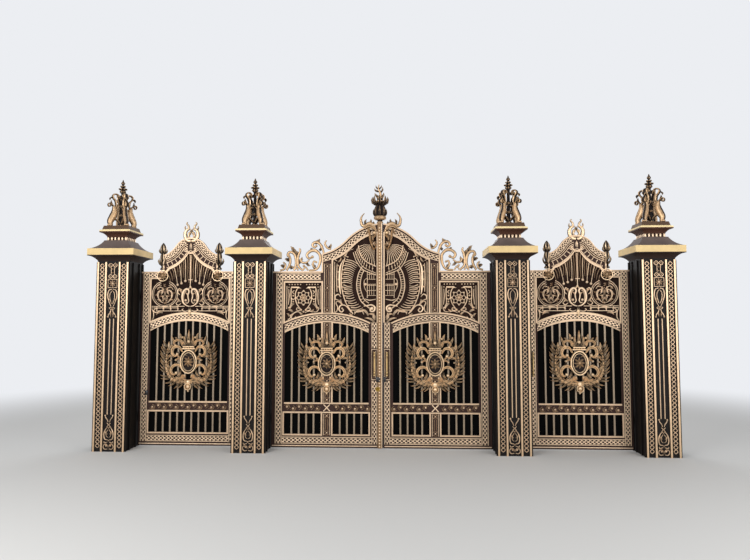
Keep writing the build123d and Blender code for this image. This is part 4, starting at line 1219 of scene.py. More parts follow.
PEAK_FIGURE = Figure(straps=(
    ((48, 66, 66, 54, 44, 36, 26, 12), (
        8, 3320, 58, 3330, 98, 3380, 106, 3450, 82, 3500, 50, 3520, 52, 3570, 84, 3610, 66, 3636,
    )),
    ((30, 40, 32, 16), (20, 3350, 46, 3400, 40, 3450, 18, 3460, 22, 3420)),
    ((28, 24, 10), (84, 3500, 110, 3530, 106, 3570)),
), leaves=(
    (90, 3400, 116, 3490, 40, -0.2, 3), (30, 3440, 26, 3530, 36, 0.2, 2),
    (100, 3340, 150, 3320, 40, 0.2, 2),
), section=Section.FREE)
# The tall panel's oval and the arcs of its fan, in metres
SUN_RIM = (
    (0.574, 3.030), (0.612, 2.885), (0.628, 2.739), (0.628, 2.594), (0.605, 2.449), (0.545, 2.284),
    (0.443, 2.128),
)
SUN_INNER = (
    (0.294, 2.889), (0.350, 2.783), (0.379, 2.663), (0.384, 2.566), (0.369, 2.471), (0.310, 2.325),
    (0.175, 2.214),
)
FAN_ARCS = (
    ((0.359, 3.223), (0.325, 3.080), (0.235, 2.965), (0.080, 2.888)),
    ((0.412, 3.126), (0.360, 2.985), (0.260, 2.862), (0.080, 2.779)),
    ((0.440, 3.110), (0.385, 2.960), (0.280, 2.832), (0.080, 2.748)),
)
# Turned forms, as radius and height from the foot up
PINNACLE = (
    (0.046, 0.0), (0.050, 0.020), (0.030, 0.036), (0.030, 0.062), (0.052, 0.074), (0.030, 0.090),
    (0.030, 0.130), (0.046, 0.165), (0.052, 0.205), (0.044, 0.250), (0.026, 0.280), (0.030, 0.292),
    (0.050, 0.320), (0.054, 0.350), (0.046, 0.385), (0.028, 0.415), (0.012, 0.435), (0.003, 0.444),
)
SPINDLE = (
    (0.030, 0.0), (0.060, 0.012), (0.060, 0.028), (0.034, 0.05), (0.030, 0.16), (0.056, 0.19),
    (0.030, 0.22), (0.026, 0.30), (0.054, 0.335), (0.026, 0.37), (0.024, 0.50), (0.027, 0.548),
    (0.055, 0.578), (0.050, 0.592), (0.030, 0.604), (0.062, 0.614), (0.072, 0.622), (0.072, 0.630),
    (0.040, 0.640), (0.024, 0.652), (0.046, 0.664), (0.046, 0.676), (0.022, 0.686), (0.014, 0.694),
    (0.030, 0.708), (0.033, 0.722), (0.024, 0.738), (0.012, 0.748), (0.014, 0.756), (0.009, 0.768),
    (0.002, 0.7805),
)


@dataclass
class Emblem:
    """A plain emblem of this design: an oval with a rosette under a leaf crown, with scrolls and
    palm sprays at the sides, a swag below and a hanging bud. Places and widths on its face are in
    modules, heights off its back in metres."""

    casting: Casting
    middle: tuple[float, float, float]
    turn: float
    module: float = 0.0934
    reach: float = 4.98
    oval_drop: float = -0.2
    bud_drop: float = -4.45
    leaflets: int = 15
    stem: Sequence[Pair] = ((0.3, -3.75), (2.3, -3.5), (3.6, -2.3), (3.95, -0.6), (3.85, 1.2), (3.5, 2.9))

    def build(self) -> None:
        """Casts the whole emblem, on a face where a module is the unit."""
        self.casting.on(Face(self.middle, (self.turn * self.module, 0.0, 0.0), up=(0.0, 0.0, self.module)))
        for flip in SIDES:
            self.spray(flip)
            EMBLEM_SIDE.draw(self.casting, 0.038, flip=(flip * 10, 10.0))
            self.swag_and_crown(flip)
        self.oval()
        self.middle_line()

    def spray(self, flip: float) -> None:
        """Adds the palm spray of one side.

        Args:
            flip: -1 for the side nearer the gateway's centre, 1 for the other.
        """
        stem = smooth(np.array(self.stem) * (flip, 1.0), 8)
        self.casting.strap(stem, (0.42, 0.4, 0.3, 0.14), 0.026, Section.GROOVED)
        for k in range(self.leaflets):
            share = 0.06 + 0.90 * k / (self.leaflets - 1)
            at = int(share * (len(stem) - 2))
            ahead = (stem[at + 1] - stem[at]) / np.linalg.norm(stem[at + 1] - stem[at])
            outward = np.array([ahead[1], -ahead[0]]) * flip
            reach = 1.75 - 0.7 * abs(share - 0.45)
            for out, length, width, rise in ((0.80, 1.0, 0.46, 0.036), (-0.62, 0.55, 0.38, 0.028)):
                tip = stem[at] + (outward * out + ahead * 0.72) * reach * length
                tip[0] = flip * min(abs(tip[0]), self.reach)
                self.casting.leaf(stem[at], tip, width, rise, -0.10 * flip * out, 1)

    def swag_and_crown(self, flip: float) -> None:
        """Adds the leaves of the swag and of the crown on one side.

        Args:
            flip: -1 for the side nearer the gateway's centre, 1 for the other.
        """
        for k in range(5):
            x, z = flip * (0.7 + 0.52 * k), -3.75 + 0.06 * k * k
            self.casting.leaf((x, z), (x + flip * 0.9, z - 0.35), 0.42, 0.034, 0.1 * flip, 1)
        for k in (1, 2):
            x, z = flip * 0.66 * k, 5.1 - 0.75 * k
            self.casting.leaf((x * 0.4, 2.5), (x, z), 0.74, 0.042, -0.12 * flip * k, 3)

    def oval(self) -> None:
        """Adds the oval, its shell, its double rosette and the small leaves beside it."""
        casting = self.casting
        ring = circle((0.0, 0.0), 1.0, 33)
        for rx, rz, width in ((1.4, 1.95, 0.34), (1.08, 1.58, 0.16)):
            casting.strap(ring * (rx, rz) + (0.0, self.oval_drop), (width,), 0.040)
        reach = np.array([1.08, 1.06, 0.9, 0.5, 0.08])[:, None]
        lift = np.array([0.0, 0.35, 0.7, 0.95, 1.0])[:, None]
        x, z = reach * 1.15 * ring[None, :-1, 0], reach * 1.66 * ring[None, :-1, 1] + self.oval_drop
        casting.loft(casting.face.place(x, z, 0.022 * lift), 0.12 * lift)
        casting.rosette((0.0, self.oval_drop), 0.92, 8, 0.046)
        casting.rosette((0.0, self.oval_drop), 0.5, 6, 0.056)
        for k in range(4):
            for flip in SIDES:
                base, tip = (flip * 0.12, 0.7 - 0.5 * k), (flip * 0.8, 1.0 - 0.6 * k)
                casting.leaf(base, tip, 0.26, 0.034, 0.1, 1)

    def middle_line(self) -> None:
        """Adds the crown's bars, balls and middle leaf, and the knot and the bud below."""
        casting = self.casting
        for z, width in ((2.05, 2.3), (2.4, 2.0)):
            casting.bar((-width / 2, z, width / 2, z), 0.3, 0.042)
        casting.leaf((0.0, 2.5), (0.0, 5.35), 0.80, 0.046, 0.0, 3)
        casting.dome((0.0, 3.3), 0.34, 0.052)
        for k in range(5):
            casting.dome(((k - 2) * 0.42, 2.22), 0.12, 0.050)
        casting.dome((0.0, -3.7), 0.5, 0.050)
        casting.rosette((0.0, self.bud_drop), 0.80, 7, 0.044, 0.22)
        casting.strap(circle((0.0, self.bud_drop), 0.56, 17), (0.2,), 0.052)
        casting.dome((0.0, self.bud_drop), 0.44, 0.060)
        casting.dome((0.0, -5.22), 0.2, 0.034)


@dataclass
class Dressed:
    """What the dressed leaves share: the side that a leaf is on, its finishes, faces and castings."""

    gate: ClassVar[str]
    middle_y: ClassVar[float]
    window_name: ClassVar[str]
    side: str
    kit: Kit
    bands: Casting = field(init=False)
    trim: Casting = field(init=False)
    # Ornament cast in the darker copy of the gold, which paints shade on recessed and fine ornament
    dim: Casting = field(init=False)
    window: Casting = field(init=False)

    def __post_init__(self) -> None:
        """Starts the leaf's lattice bands, bright ornament, ornament in painted shade and window castings."""
        names = ("lattice_bands", "rail_ornament", "shaded_ornament", self.window_name)
        self.bands, self.trim, self.dim, self.window = (Casting(f"{self.stem}_{name}") for name in names)

    @property
    def turn(self) -> float:
        """Gives -1 for the left leaf and 1 for the right leaf."""
        return -1.0 if self.side == "left" else 1.0

    @property
    def centre(self) -> float:
        """Gives the place that the leaf's across starts from, left to right."""
        return GATE_CENTRE

    @property
    def stem(self) -> str:
        """Gives the start of the names of the leaf's pieces."""
        return f"{self.gate}_{self.side}"

    def face(self, ahead: float = 0.0, out: float = -1.0) -> Face:
        """Gives an upright face of the leaf, whose across runs away from the gateway's centre.

        Args:
            ahead: How far it lies out of the leaf's middle plane.
            out: -1 when it looks to the street, 1 when it looks to the drive.

        Returns:
            The face.
        """
        return Face((self.centre, self.middle_y + out * ahead, 0.0), (self.turn, 0.0, 0.0), (0.0, out, 0.0))

    def turn_to(self, ahead: float, out: float = -1.0) -> None:
        """Turns all of the leaf's castings to one of its faces.

        Args:
            ahead: How far the face lies out of the leaf's middle plane.
            out: -1 when it looks to the street, 1 when it looks to the drive.
        """
        for casting in (self.bands, self.trim, self.dim, self.window):
            casting.on(self.face(ahead, out))

    def running_scroll(self, start: float, end: float) -> None:
        """Adds the lock rail's running scroll with its balls.

        Args:
            start: Where the scroll starts across.
            end: Where it ends.
        """
        count = round((end - start) / SCROLL_PITCH)
        pitch = (end - start) / count
        for k in range(count):
            sign = SIDES[k % 2]
            x, z = start + (k + 0.5) * pitch, LOCK_RAIL + sign * 0.012
            curl = volute((x, z), pitch * 0.42, 0.012, 90 * sign + 180, -1.15 * sign)
            self.dim.strap(curl, (0.011, 0.015, 0.011), 0.011)
            tail = ((-0.55, -0.022), (-0.2, 0.038), (0.5, 0.02))
            rows = [(x + pitch * share, z + sign * lift) for share, lift in tail]
            self.dim.strap(smooth(rows, 5), (0.006, 0.012, 0.006), 0.010)
            self.trim.dome((x, z), 0.0145, 0.016, sides=8)

    def emblem(self, shift: float, middle: float, base_y: float) -> None:
        """Casts the leaf's emblem.

        Args:
            shift: How far its middle stands from the place that the leaf's across starts from.
            middle: Its height.
            base_y: Where its back lies.
        """
        casting = Casting(f"{self.stem}_heraldic_emblem")
        Emblem(casting, (self.centre + self.turn * shift, base_y, middle), self.turn).build()
        casting.finish(self.kit.antique, f"{self.stem}_leaf", replaced=(f"{self.stem}_emblem",))


@dataclass
class PostDress:
    """The cast ornament of one square post: chains, centre panels, dentils and the finial."""

    name: str
    kit: Kit
    channel: float = 0.172
    link_pitch: float = 0.062
    low: float = 0.060
    high: float = 2.925
    twin: float = 0.030
    rod: Pair = (0.57, 2.05)
    foot_panel: float = 0.030
    head_panel: float = 2.932
    relief: float = 0.016
    dentil_row: Pair = (0.153, 0.161)
    dentil_step: float = 0.0568
    dentils: Pair = (3.299, 3.348)
    half_link: Sequence[Pair] = ((0.0, -0.031), (0.022, -0.013), (0.030, 0.0), (0.022, 0.013), (0.0, 0.031))

    def build(self) -> None:
        """Builds all the ornament of the post."""
        low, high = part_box(f"{self.name}_post_shaft")
        axis, centre_y = (low.x + high.x) / 2, (low.y + high.y) / 2
        casting = Casting(f"{self.name}_post_ornament")
        for out in SIDES:
            casting.on(Face((axis, centre_y + out * (POST_HALF - RIB_PROUD), 0.0), out=(0.0, out, 0.0)))
            count = int((self.high - self.low) / self.link_pitch)
            for sign in SIDES:
                start = casting.face.place(sign * self.channel, self.low + self.link_pitch / 2, 0.0)
                self.kit.row(casting, self.link(out), start, self.link_pitch, count)
                x = sign * self.twin
                casting.bar((x, self.rod[0], x, self.rod[1]), 0.019, 0.015)
                POST_HEAD.draw(casting, self.relief, (0.0, self.head_panel), (sign, -1.0))
                POST_FOOT.draw(casting, self.relief, (0.0, self.foot_panel), (sign, 1.0))
            casting.rosette((0.0, self.head_panel - 0.330), 0.062, 8, self.relief)
        casting.finish(self.kit.post, "posts", "bronze_casting")
        teeth = Casting(f"{self.name}_post_dentil_caps")
        for k in range(4):
            out = (round(math.cos(math.pi * k / 2)), round(math.sin(math.pi * k / 2)), 0.0)
            teeth.on(Face((axis, centre_y, 0.0), (-out[1], out[0], 0.0), out))
            for j in range(6):
                x = (j - 2.5) * self.dentil_step
                teeth.block((x - 0.014, x + 0.014), self.dentils, self.dentil_row)
        teeth.finish(self.kit.gold, "posts")
        self.finial(axis, centre_y)

    def link(self, out: float) -> bpy.types.Object:
        """Makes one link of the diamond chain.

        Args:
            out: Which way the post's face looks.

        Returns:
            The link, outside the scene.
        """
        casting = Casting("chain_link").on(Face((0.0, 0.0, 0.0), out=(0.0, out, 0.0)))
        for sign in SIDES:
            line = np.array(self.half_link) * (sign, 1.0)
            casting.strap(line, (0.015, 0.017, 0.015), 0.014)
        casting.dome(self.half_link[-1], 0.010, 0.016, sides=6)
        return casting.shape()

    def finial(self, x: float, y: float) -> None:
        """Builds the finial: four scrolled consoles on lion feet round a turned spindle.

        Args:
            x: The post's axis, left to right.
            y: The post's axis, front to back.
        """
        casting = Casting(f"{self.name}_post_scroll_finial")
        for k in range(4):
            casting.on(Face.spoke((x, y, FINIAL_FOOT), math.radians(45 + 90 * k)))
            FINIAL_CONSOLE.draw(casting, 0.038)
            for shift in (-0.024, 0.0, 0.024):
                casting.ball(casting.face.place(0.206 + 0.008 * (shift == 0.0), 0.020, shift), 0.019)
        casting.lathe((x, y, FINIAL_FOOT), SPINDLE, 24, 8, 0.10)
        casting.finish(self.kit.finial, "posts", replaced=(f"{self.name}_post_finial",))


@dataclass
class MainLeaf(Dressed):
    """One leaf of the car gate. Its across is measured from the gateway's centre."""

    gate: ClassVar[str] = "main"
    middle_y: ClassVar[float] = MAIN_MIDDLE_Y
    window_name: ClassVar[str] = "window_castings"
    wide: Lattice
    narrow: Lattice
    outer: float = 1.625
    meeting: float = 0.101
    bottom: float = 0.138
    top: float = 2.722
    mullion: Pair = (0.763, 0.948)
    window_middle: float = 0.8645
    arch_half: float = 0.712
    arch_crown: float = 2.070
    arch_rise: float = 0.188
    window_half: float = 0.6725
    ogee: Sequence[Pair] = ((0.948, 3.097), (0.560, 3.312), (0.0, 3.583))
    ogee_rise: float = 0.2
    ogee_drop: float = 0.091
    ogee_start: float = 0.115
    handle_gap: Pair = (1.075, 1.585)
    meeting_top: float = 1.985
    lock_plate_ends: Pair = (1.085, 1.570)
    foot: Pair = (0.060, 1.725)
    scrolls: Pair = (0.160, 1.536)
    flower: Pair = (1.240, 2.385)
    sun_rays: int = 25
    fan_rays: int = 11
    rise: float = 0.020

    def build(self) -> None:
        """Builds all the dressed pieces of the leaf."""
        body = f"{self.stem}_leaf"
        for out in SIDES:
            self.turn_to(PLATE_OUT, out)
            self.lattice_lines()
            self.mullion_ornament()
            self.lock_plate()
            self.trim.bar((self.foot[0], FOOT_BEAD, self.foot[1], FOOT_BEAD), 0.018, 0.012)
            self.running_scroll(self.scrolls[0], self.mullion[0] - 0.01)
            self.running_scroll(self.mullion[1] + 0.01, self.scrolls[1])
        self.bands.finish(self.kit.gold, body, weld=1e-5)
        self.trim.finish(self.kit.gold, body)
        self.dim.finish(self.kit.painted_shade, body)
        self.turn_to(SHEET_OUT)
        self.rosette_panel()
        self.sun_panel()
        self.upper_fan()
        self.window.finish(self.kit.gold, body, replaced=(f"{self.stem}_grilles",))
        crest = Casting(f"{self.stem}_shoulder_scrolls").on(self.face())
        SHOULDER.draw(crest, 0.014)
        HORN.draw(crest, 0.022)
        HORN_FACE.draw(crest.on(self.face(LEAF_HALF_THICK - 0.002)), 0.022)
        crest.finish(self.kit.finial, body, replaced=(f"{self.stem}_cresting",))
        self.emblem(0.8555, 1.3575, 0.090)

    def lattice_lines(self) -> None:
        """Lays the bored bands along stiles, rails, arch and ogee."""
        half = self.wide.width / 2
        inner = self.outer - half
        self.wide.run(
            self.bands,
            (self.outer, self.bottom - half, self.outer, self.top + half),
            (self.meeting + self.narrow.width / 2, self.bottom, inner, self.bottom),
            (inner, self.top, self.mullion[1] + 0.012, self.top),
        )
        self.narrow.run(
            self.bands,
            (self.meeting, self.bottom - half, self.meeting, self.handle_gap[0]),
            (self.meeting, self.handle_gap[1], self.meeting, self.meeting_top),
        )
        edges = (self.window_middle - self.window_half, self.window_middle + self.window_half)
        band = arch(self.arch_half, self.arch_crown, self.arch_rise, self.window_middle)
        self.narrow.lay(self.bands, band, edges)
        ogee = moved_aside(slope(*self.ogee, self.ogee_rise), -self.ogee_drop)
        self.narrow.lay(self.bands, ogee[ogee[:, 0] > self.ogee_start])

    def mullion_ornament(self) -> None:
        """Adds the mullion's second beads, crossed squares and fluted rods."""
        low, high = self.mullion
        x = (low + high) / 2
        band = arch(self.arch_half, self.arch_crown, self.arch_rise, self.window_middle)
        crossing = float(np.interp(x, band[:, 0], band[:, 1]))
        for z in (*LOCK_RAIL_BEADS, crossing - 0.068, crossing + 0.068):
            self.trim.bar((low + 0.01, z, high - 0.01, z), 0.022, 0.014)
        for lift in (-0.052, 0.052):
            self.trim.bar((x - 0.05, LOCK_RAIL - lift, x + 0.05, LOCK_RAIL + lift), 0.020, 0.011)
        self.trim.dome((x, LOCK_RAIL), 0.018, 0.016)
        for start, end in ((0.216, 0.556), (0.733, crossing - 0.084), (crossing + 0.084, 2.93)):
            for edge in (low + 0.046, high - 0.046):
                self.trim.bar((edge, start, edge, end), 0.013, 0.013)
            count = max(1, round((end - start) / 0.33))
            pitch = (end - start - 0.075) / count
            for k in range(count + 1):
                z = start + 0.0375 + k * pitch
                for sign in SIDES:
                    self.dim.bar((x - 0.030, z - sign * 0.030, x + 0.030, z + sign * 0.030), 0.012, 0.008)
                    self.dim.bar((x - 0.030, z + sign * 0.034, x + 0.030, z + sign * 0.034), 0.010, 0.009)
                self.trim.dome((x, z), 0.012, 0.012, sides=8)
                for shift in (-0.016, 0.016) if k < count else ():
                    self.dim.bar((x + shift, z + 0.050, x + shift, z + pitch - 0.050), 0.012, 0.009)

    def lock_plate(self) -> None:
        """Adds the border bars and rods of the slotted plate behind the pull handle."""
        low, high = self.lock_plate_ends
        middle = self.meeting
        self.dim.bar((middle + 0.016, low + 0.03, middle + 0.016, high - 0.03), 0.010, 0.010)
        for x in (middle - 0.042, middle + 0.042):
            self.trim.bar((x, low, x, high), 0.010, 0.012)
        for z in (low + 0.005, high - 0.005):
            self.trim.bar((middle - 0.046, z, middle + 0.046, z), 0.014, 0.013)
        self.trim.bar((middle - 0.016, low + 0.03, middle - 0.016, high - 0.03), 0.012, 0.013)

    def rosette_panel(self) -> None:
        """Adds the square panel's flower, its double brackets and its corner scrolls."""
        cx, cz = self.flower
        for k in range(8):
            c, s = math.cos(math.pi * k / 4), math.sin(math.pi * k / 4)
            self.window.strap(circle((cx + 0.076 * c, cz + 0.076 * s), 0.030, 15), (0.014,), self.rise)
            self.window.dome((cx + 0.112 * c, cz + 0.112 * s), 0.017, self.rise + 0.004, sides=8)
        self.window.rosette((cx, cz), 0.055, 6, self.rise + 0.004)
        ROSETTE_CORNERS.draw(self.window, self.rise, (cx, cz))
        for sign in SIDES:
            ROSETTE_SIDE.draw(self.window, self.rise, (cx, cz), (sign, 1.0))
            self.window.bar((cx + sign * 0.07, cz + 0.172, cx + sign * 0.20, cz + 0.172), 0.022, self.rise)
            x = cx + sign * 0.270
            self.window.bar((x, cz - 0.18, x, cz + 0.19), 0.014, self.rise * 0.6)
            for k in range(5):
                x = cx + sign * (0.05 + 0.045 * k)
                self.window.dome((x, cz + 0.215), 0.012, self.rise * 0.7, sides=8)

    def sun_panel(self) -> None:
        """Adds the tall panel: a ladder oval, its rays, the hanging grid and the scrolls."""
        rise = self.rise
        rim, inner = smooth(SUN_RIM), smooth(SUN_INNER)
        ladder = moved_aside(inner, 0.058)
        self.window.strap(rim, (0.020,), rise)
        self.window.strap(inner, (0.022,), rise)
        self.window.strap(ladder[2:-2], (0.018,), rise)
        for k in range(3, len(inner) - 4, 2):
            self.window.bar((*inner[k], *ladder[k]), 0.011, rise * 0.8)
        for k in range(self.sun_rays):
            share = k / (self.sun_rays - 1)
            ends = (self.between(inner, share), self.between(rim, 0.02 + 0.96 * share))
            bow = 0.016 if share < 0.5 else -0.016
            self.ray(ends, (0.074, 0.014 if k % 2 else 0.040), bow, 0.012)
        self.window.bar((0.214, 2.812, 0.214, 2.380), 0.014, rise)
        self.window.bar((0.740, 2.96, 0.740, 2.15), 0.014, rise * 0.6)
        for z in (2.42, 2.50, 2.58, 2.60, 2.68, 2.76):
            self.window.bar((0.075, z, 0.214, z), 0.010, rise * 0.7)
        for x in (0.11, 0.145, 0.18):
            self.window.bar((x, 2.43, x, 2.60), 0.009, rise * 0.6)
            self.window.bar((x, 2.68, x, 2.80), 0.009, rise * 0.6)
        SUN_FIGURES.draw(self.window, rise)

    def ray(self, ends: Sequence[np.ndarray], short: Pair, bow: float, ball: float) -> None:
        """Adds one bowed ray that swells towards the ball at its end.

        Args:
            ends: The two places that it runs between.
            short: How far it stops short of each.
            bow: How far it bows to its left.
            ball: The radius of its ball.
        """
        ahead = (ends[1] - ends[0]) / np.linalg.norm(ends[1] - ends[0])
        a, b = ends[0] + ahead * short[0], ends[1] - ahead * short[1]
        middle = (a + b) / 2 + np.array([-ahead[1], ahead[0]]) * bow
        widths = (ball - 0.003, ball + 0.004, ball + 0.006)
        self.window.strap(smooth([a, middle, b], 4), widths, self.rise * 0.8)
        self.window.dome(b, ball, self.rise * 0.85, sides=6)

    @staticmethod
    def between(line: np.ndarray, share: float) -> np.ndarray:
        """Gives the point at a share of a line's rows."""
        at, rows = share * (len(line) - 1), np.arange(len(line))
        return np.array([np.interp(at, rows, column) for column in line.T])

    def upper_fan(self) -> None:
        """Adds the quarter fan at the head of the panel."""
        arcs = [smooth(points, 7) for points in FAN_ARCS]
        for line, width in zip(arcs, (0.022, 0.014, 0.018)):
            self.window.strap(line, (width,), self.rise)
        for k in range(1, len(arcs[0]) - 1, 2):
            self.window.bar((*arcs[0][k], *arcs[1][k]), 0.010, self.rise * 0.7)
            self.window.dome((arcs[0][k] + arcs[1][k]) / 2, 0.013, self.rise * 0.9, sides=8)
        hub = np.array((0.100, 3.245))
        for k in range(self.fan_rays):
            ends = (hub, self.between(arcs[0], 0.04 + 0.92 * k / (self.fan_rays - 1)))
            self.ray(ends, (0.075, 0.016), 0.012, 0.010)
        self.window.rosette((0.112, 3.252), 0.046, 6, self.rise)


@dataclass
class CrownFinial:
    """The finial on the left leaf's meeting stile: neck, ring, gadrooned bulb, leaf crown and sprig."""

    kit: Kit
    shift: float = -0.0115
    foot: float = 3.583
    neck: Sequence[Pair] = (
        (0.050, 0.0), (0.052, 0.016), (0.040, 0.028), (0.040, 0.046), (0.084, 0.056), (0.098, 0.068),
        (0.100, 0.092), (0.094, 0.108), (0.082, 0.118),
    )
    bulb: Sequence[Pair] = (
        (0.082, 0.114), (0.100, 0.128), (0.109, 0.158), (0.106, 0.195), (0.090, 0.240), (0.070, 0.285),
        (0.058, 0.315), (0.050, 0.345),
    )
    waist: Sequence[Pair] = (
        (0.050, 0.340), (0.066, 0.350), (0.066, 0.362), (0.046, 0.372), (0.050, 0.400), (0.060, 0.420),
        (0.040, 0.430),
    )
    sprig: Figure = Figure(
        straps=(((48, 40, 28, 12), (0, 410, 6, 490, -24, 560, -16, 630)),),
        leaves=(
            (0, 420, 62, 500, 52, -0.2, 3), (-4, 430, -84, 496, 52, 0.2, 3),
            (0, 500, 40, 590, 40, -0.2, 2), (-14, 520, -92, 570, 40, 0.2, 2),
            (-20, 560, 24, 625, 30, -0.2, 2), (-20, 560, -66, 618, 30, 0.2, 2),
        ),
        section=Section.FREE,
    )

    def build(self) -> None:
        """Builds the finial."""
        casting = Casting("crown_finial_gadrooned")
        axis = (GATE_CENTRE + self.shift, MAIN_MIDDLE_Y, self.foot)
        casting.lathe(axis, self.neck, 28)
        casting.lathe(axis, self.bulb, 48, 8, 0.26)
        casting.lathe(axis, self.waist, 24)
        for k in range(8):
            casting.on(Face.spoke(axis, math.pi * k / 4))
            casting.leaf((0.050, 0.300), (0.118, 0.432), 0.062, 0.026, -0.25, 3, True)
            casting.leaf((0.090, 0.120), (0.101, 0.235), 0.026, 0.016, -0.1, 1, True)
        self.sprig.draw(casting.on(Face(axis)), 0.013)
        casting.finish(self.kit.finial, "main_left_leaf", replaced=("main_left_crown_finial",))


@dataclass
class Hardware:
    """Pull handles, lock rose, latch and the pearls of the cover strip."""

    kit: Kit
    grip_low: float = 1.1475
    grip_high: float = 1.5245
    grip_out: float = 0.046
    main_pull: float = 0.098
    pearl_pitch: float = 0.0466
    lock: Pair = (-0.046, 0.943)
    half_grip: Sequence[Pair] = (
        (0.004, 0.0), (0.014, 0.004), (0.017, 0.014), (0.011, 0.024), (0.010, 0.036), (0.0155, 0.044),
        (0.0155, 0.060), (0.011, 0.068), (0.0115, 0.11),
    )

    def build(self) -> None:
        """Builds the hardware of all leaves."""
        for side, sign in zip(("left", "right"), SIDES):
            casting = Casting(f"main_{side}_turned_pull")
            self.pull(casting, GATE_CENTRE + sign * self.main_pull, MAIN_MIDDLE_Y - PLATE_OUT)
            casting.finish(self.kit.copper, f"main_{side}_leaf", "copper_gold")
            low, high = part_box(f"side_{side}_pull")
            casting = Casting(f"side_{side}_turned_pull")
            self.pull(casting, (low.x + high.x) / 2, SIDE_MIDDLE_Y - PLATE_OUT)
            casting.finish(self.kit.copper, f"side_{side}_leaf", "copper_gold", (f"side_{side}_pull",))
        self.latches()
        self.pearls()
        self.stop_strips()

    def pull(self, casting: Casting, x: float, plate: float) -> None:
        """Adds one pull handle: two posts, collars and a swelling grip.

        Args:
            casting: The piece that takes it.
            x: Where the grip's axis stands.
            plate: The face that its posts stand on.
        """
        tall = self.grip_high - self.grip_low
        mirrored = [(radius, tall - z) for radius, z in reversed(self.half_grip)]
        profile = [*self.half_grip, (0.0135, tall / 2), *mirrored]
        casting.lathe((x, plate - self.grip_out, self.grip_low), profile, 20)
        turn = np.linspace(0, 2 * np.pi, 12, endpoint=False)[None, :]
        foot = ((0.018, -0.002), (0.018, 0.006), (0.011, 0.010), (0.009, 0.026), (0.012, self.grip_out))
        radius, out = np.array(foot).T[:, :, None]
        for z in (self.grip_low + 0.052, self.grip_high - 0.052):
            rings = Face((x, plate, z)).place(radius * np.cos(turn), radius * np.sin(turn), out)
            casting.loft(rings, np.array([[0.7]]))

    def latches(self) -> None:
        """Builds the black latch, its keeper, the lock rose, and a black block that paints the shade of the
        small keyhole.
        """
        front = Face((GATE_CENTRE, MAIN_MIDDLE_Y - PLATE_OUT, 0.0))
        for side, x in (("left", (-0.076, -0.006)), ("right", (0.046, 0.081))):
            casting = Casting(f"main_{side}_black_latch").on(front)
            casting.block(x, (1.054, 1.131), (-0.002, 0.030), 0.005)
            casting.dome((sum(x) / 2, 1.092), 0.017, 0.012, base=0.029)
            casting.finish(self.kit.black, f"main_{side}_leaf", "copper_gold", (f"main_{side}_lockset",))
        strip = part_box("main_left_cover_strip")[0].y + 0.003
        rose = Casting("main_left_lock_rose").on(Face((GATE_CENTRE, strip, 0.0)))
        rose.strap(circle(self.lock, 0.030, 17), (0.012,), 0.014)
        rose.rosette(self.lock, 0.029, 10, 0.016)
        rose.finish(self.kit.brass, "main_left_leaf")
        face = Face((GATE_CENTRE - SIDE_OFFSET, SIDE_MIDDLE_Y - PLATE_OUT, 0.0))
        # A black block on the leaf's face: painted shade for the inside of the keyhole
        hole = Casting("side_left_keyhole").on(face)
        hole.block((-0.711, -0.661), (0.82, 0.895), (0.0, 0.016))
        hole.finish(self.kit.black, "side_left_leaf")

    def stop_strips(self) -> None:
        """Builds the stop strips on the two meeting edges, one before the other, in black that paints the
        shade of the gap between the leaves.
        """
        face = Face((GATE_CENTRE, 0.0, 0.0))
        strips = (("left", (0.0245, 0.0335), (-0.105, -0.082)), ("right", (0.0345, 0.0435), (-0.138, -0.115)))
        for side, across, out in strips:
            low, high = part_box(f"main_{side}_frame")
            strip = Casting(f"main_{side}_stop_strip").on(face)
            # The stops are real parts; their black is painted shade for the gap between the leaves
            strip.block(across, (low.z + 0.004, high.z - 0.012), out, 0.001)
            strip.finish(self.kit.black, f"main_{side}_leaf", "copper_gold")

    def pearls(self) -> None:
        """Builds the row of pearls down the cover strip, and the strip's bright edge."""
        dot = Casting("pearl")
        dot.dome((0.0, 0.0), 0.014, 0.009, base=-0.002, sides=8)
        casting = Casting("cover_strip_pearls")
        low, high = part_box("main_left_cover_strip")
        count = int((high.z - low.z - 0.04) / self.pearl_pitch)
        start = ((low.x + high.x) / 2 - 0.006, low.y, low.z + 0.03)
        self.kit.row(casting, dot.shape(), start, self.pearl_pitch, count)
        casting.on(Face((high.x - 0.009, low.y, 0.0)))
        casting.bar((0.0, low.z + 0.004, 0.0, high.z - 0.004), 0.012, 0.004)
        casting.finish(self.kit.gold, "main_left_leaf")


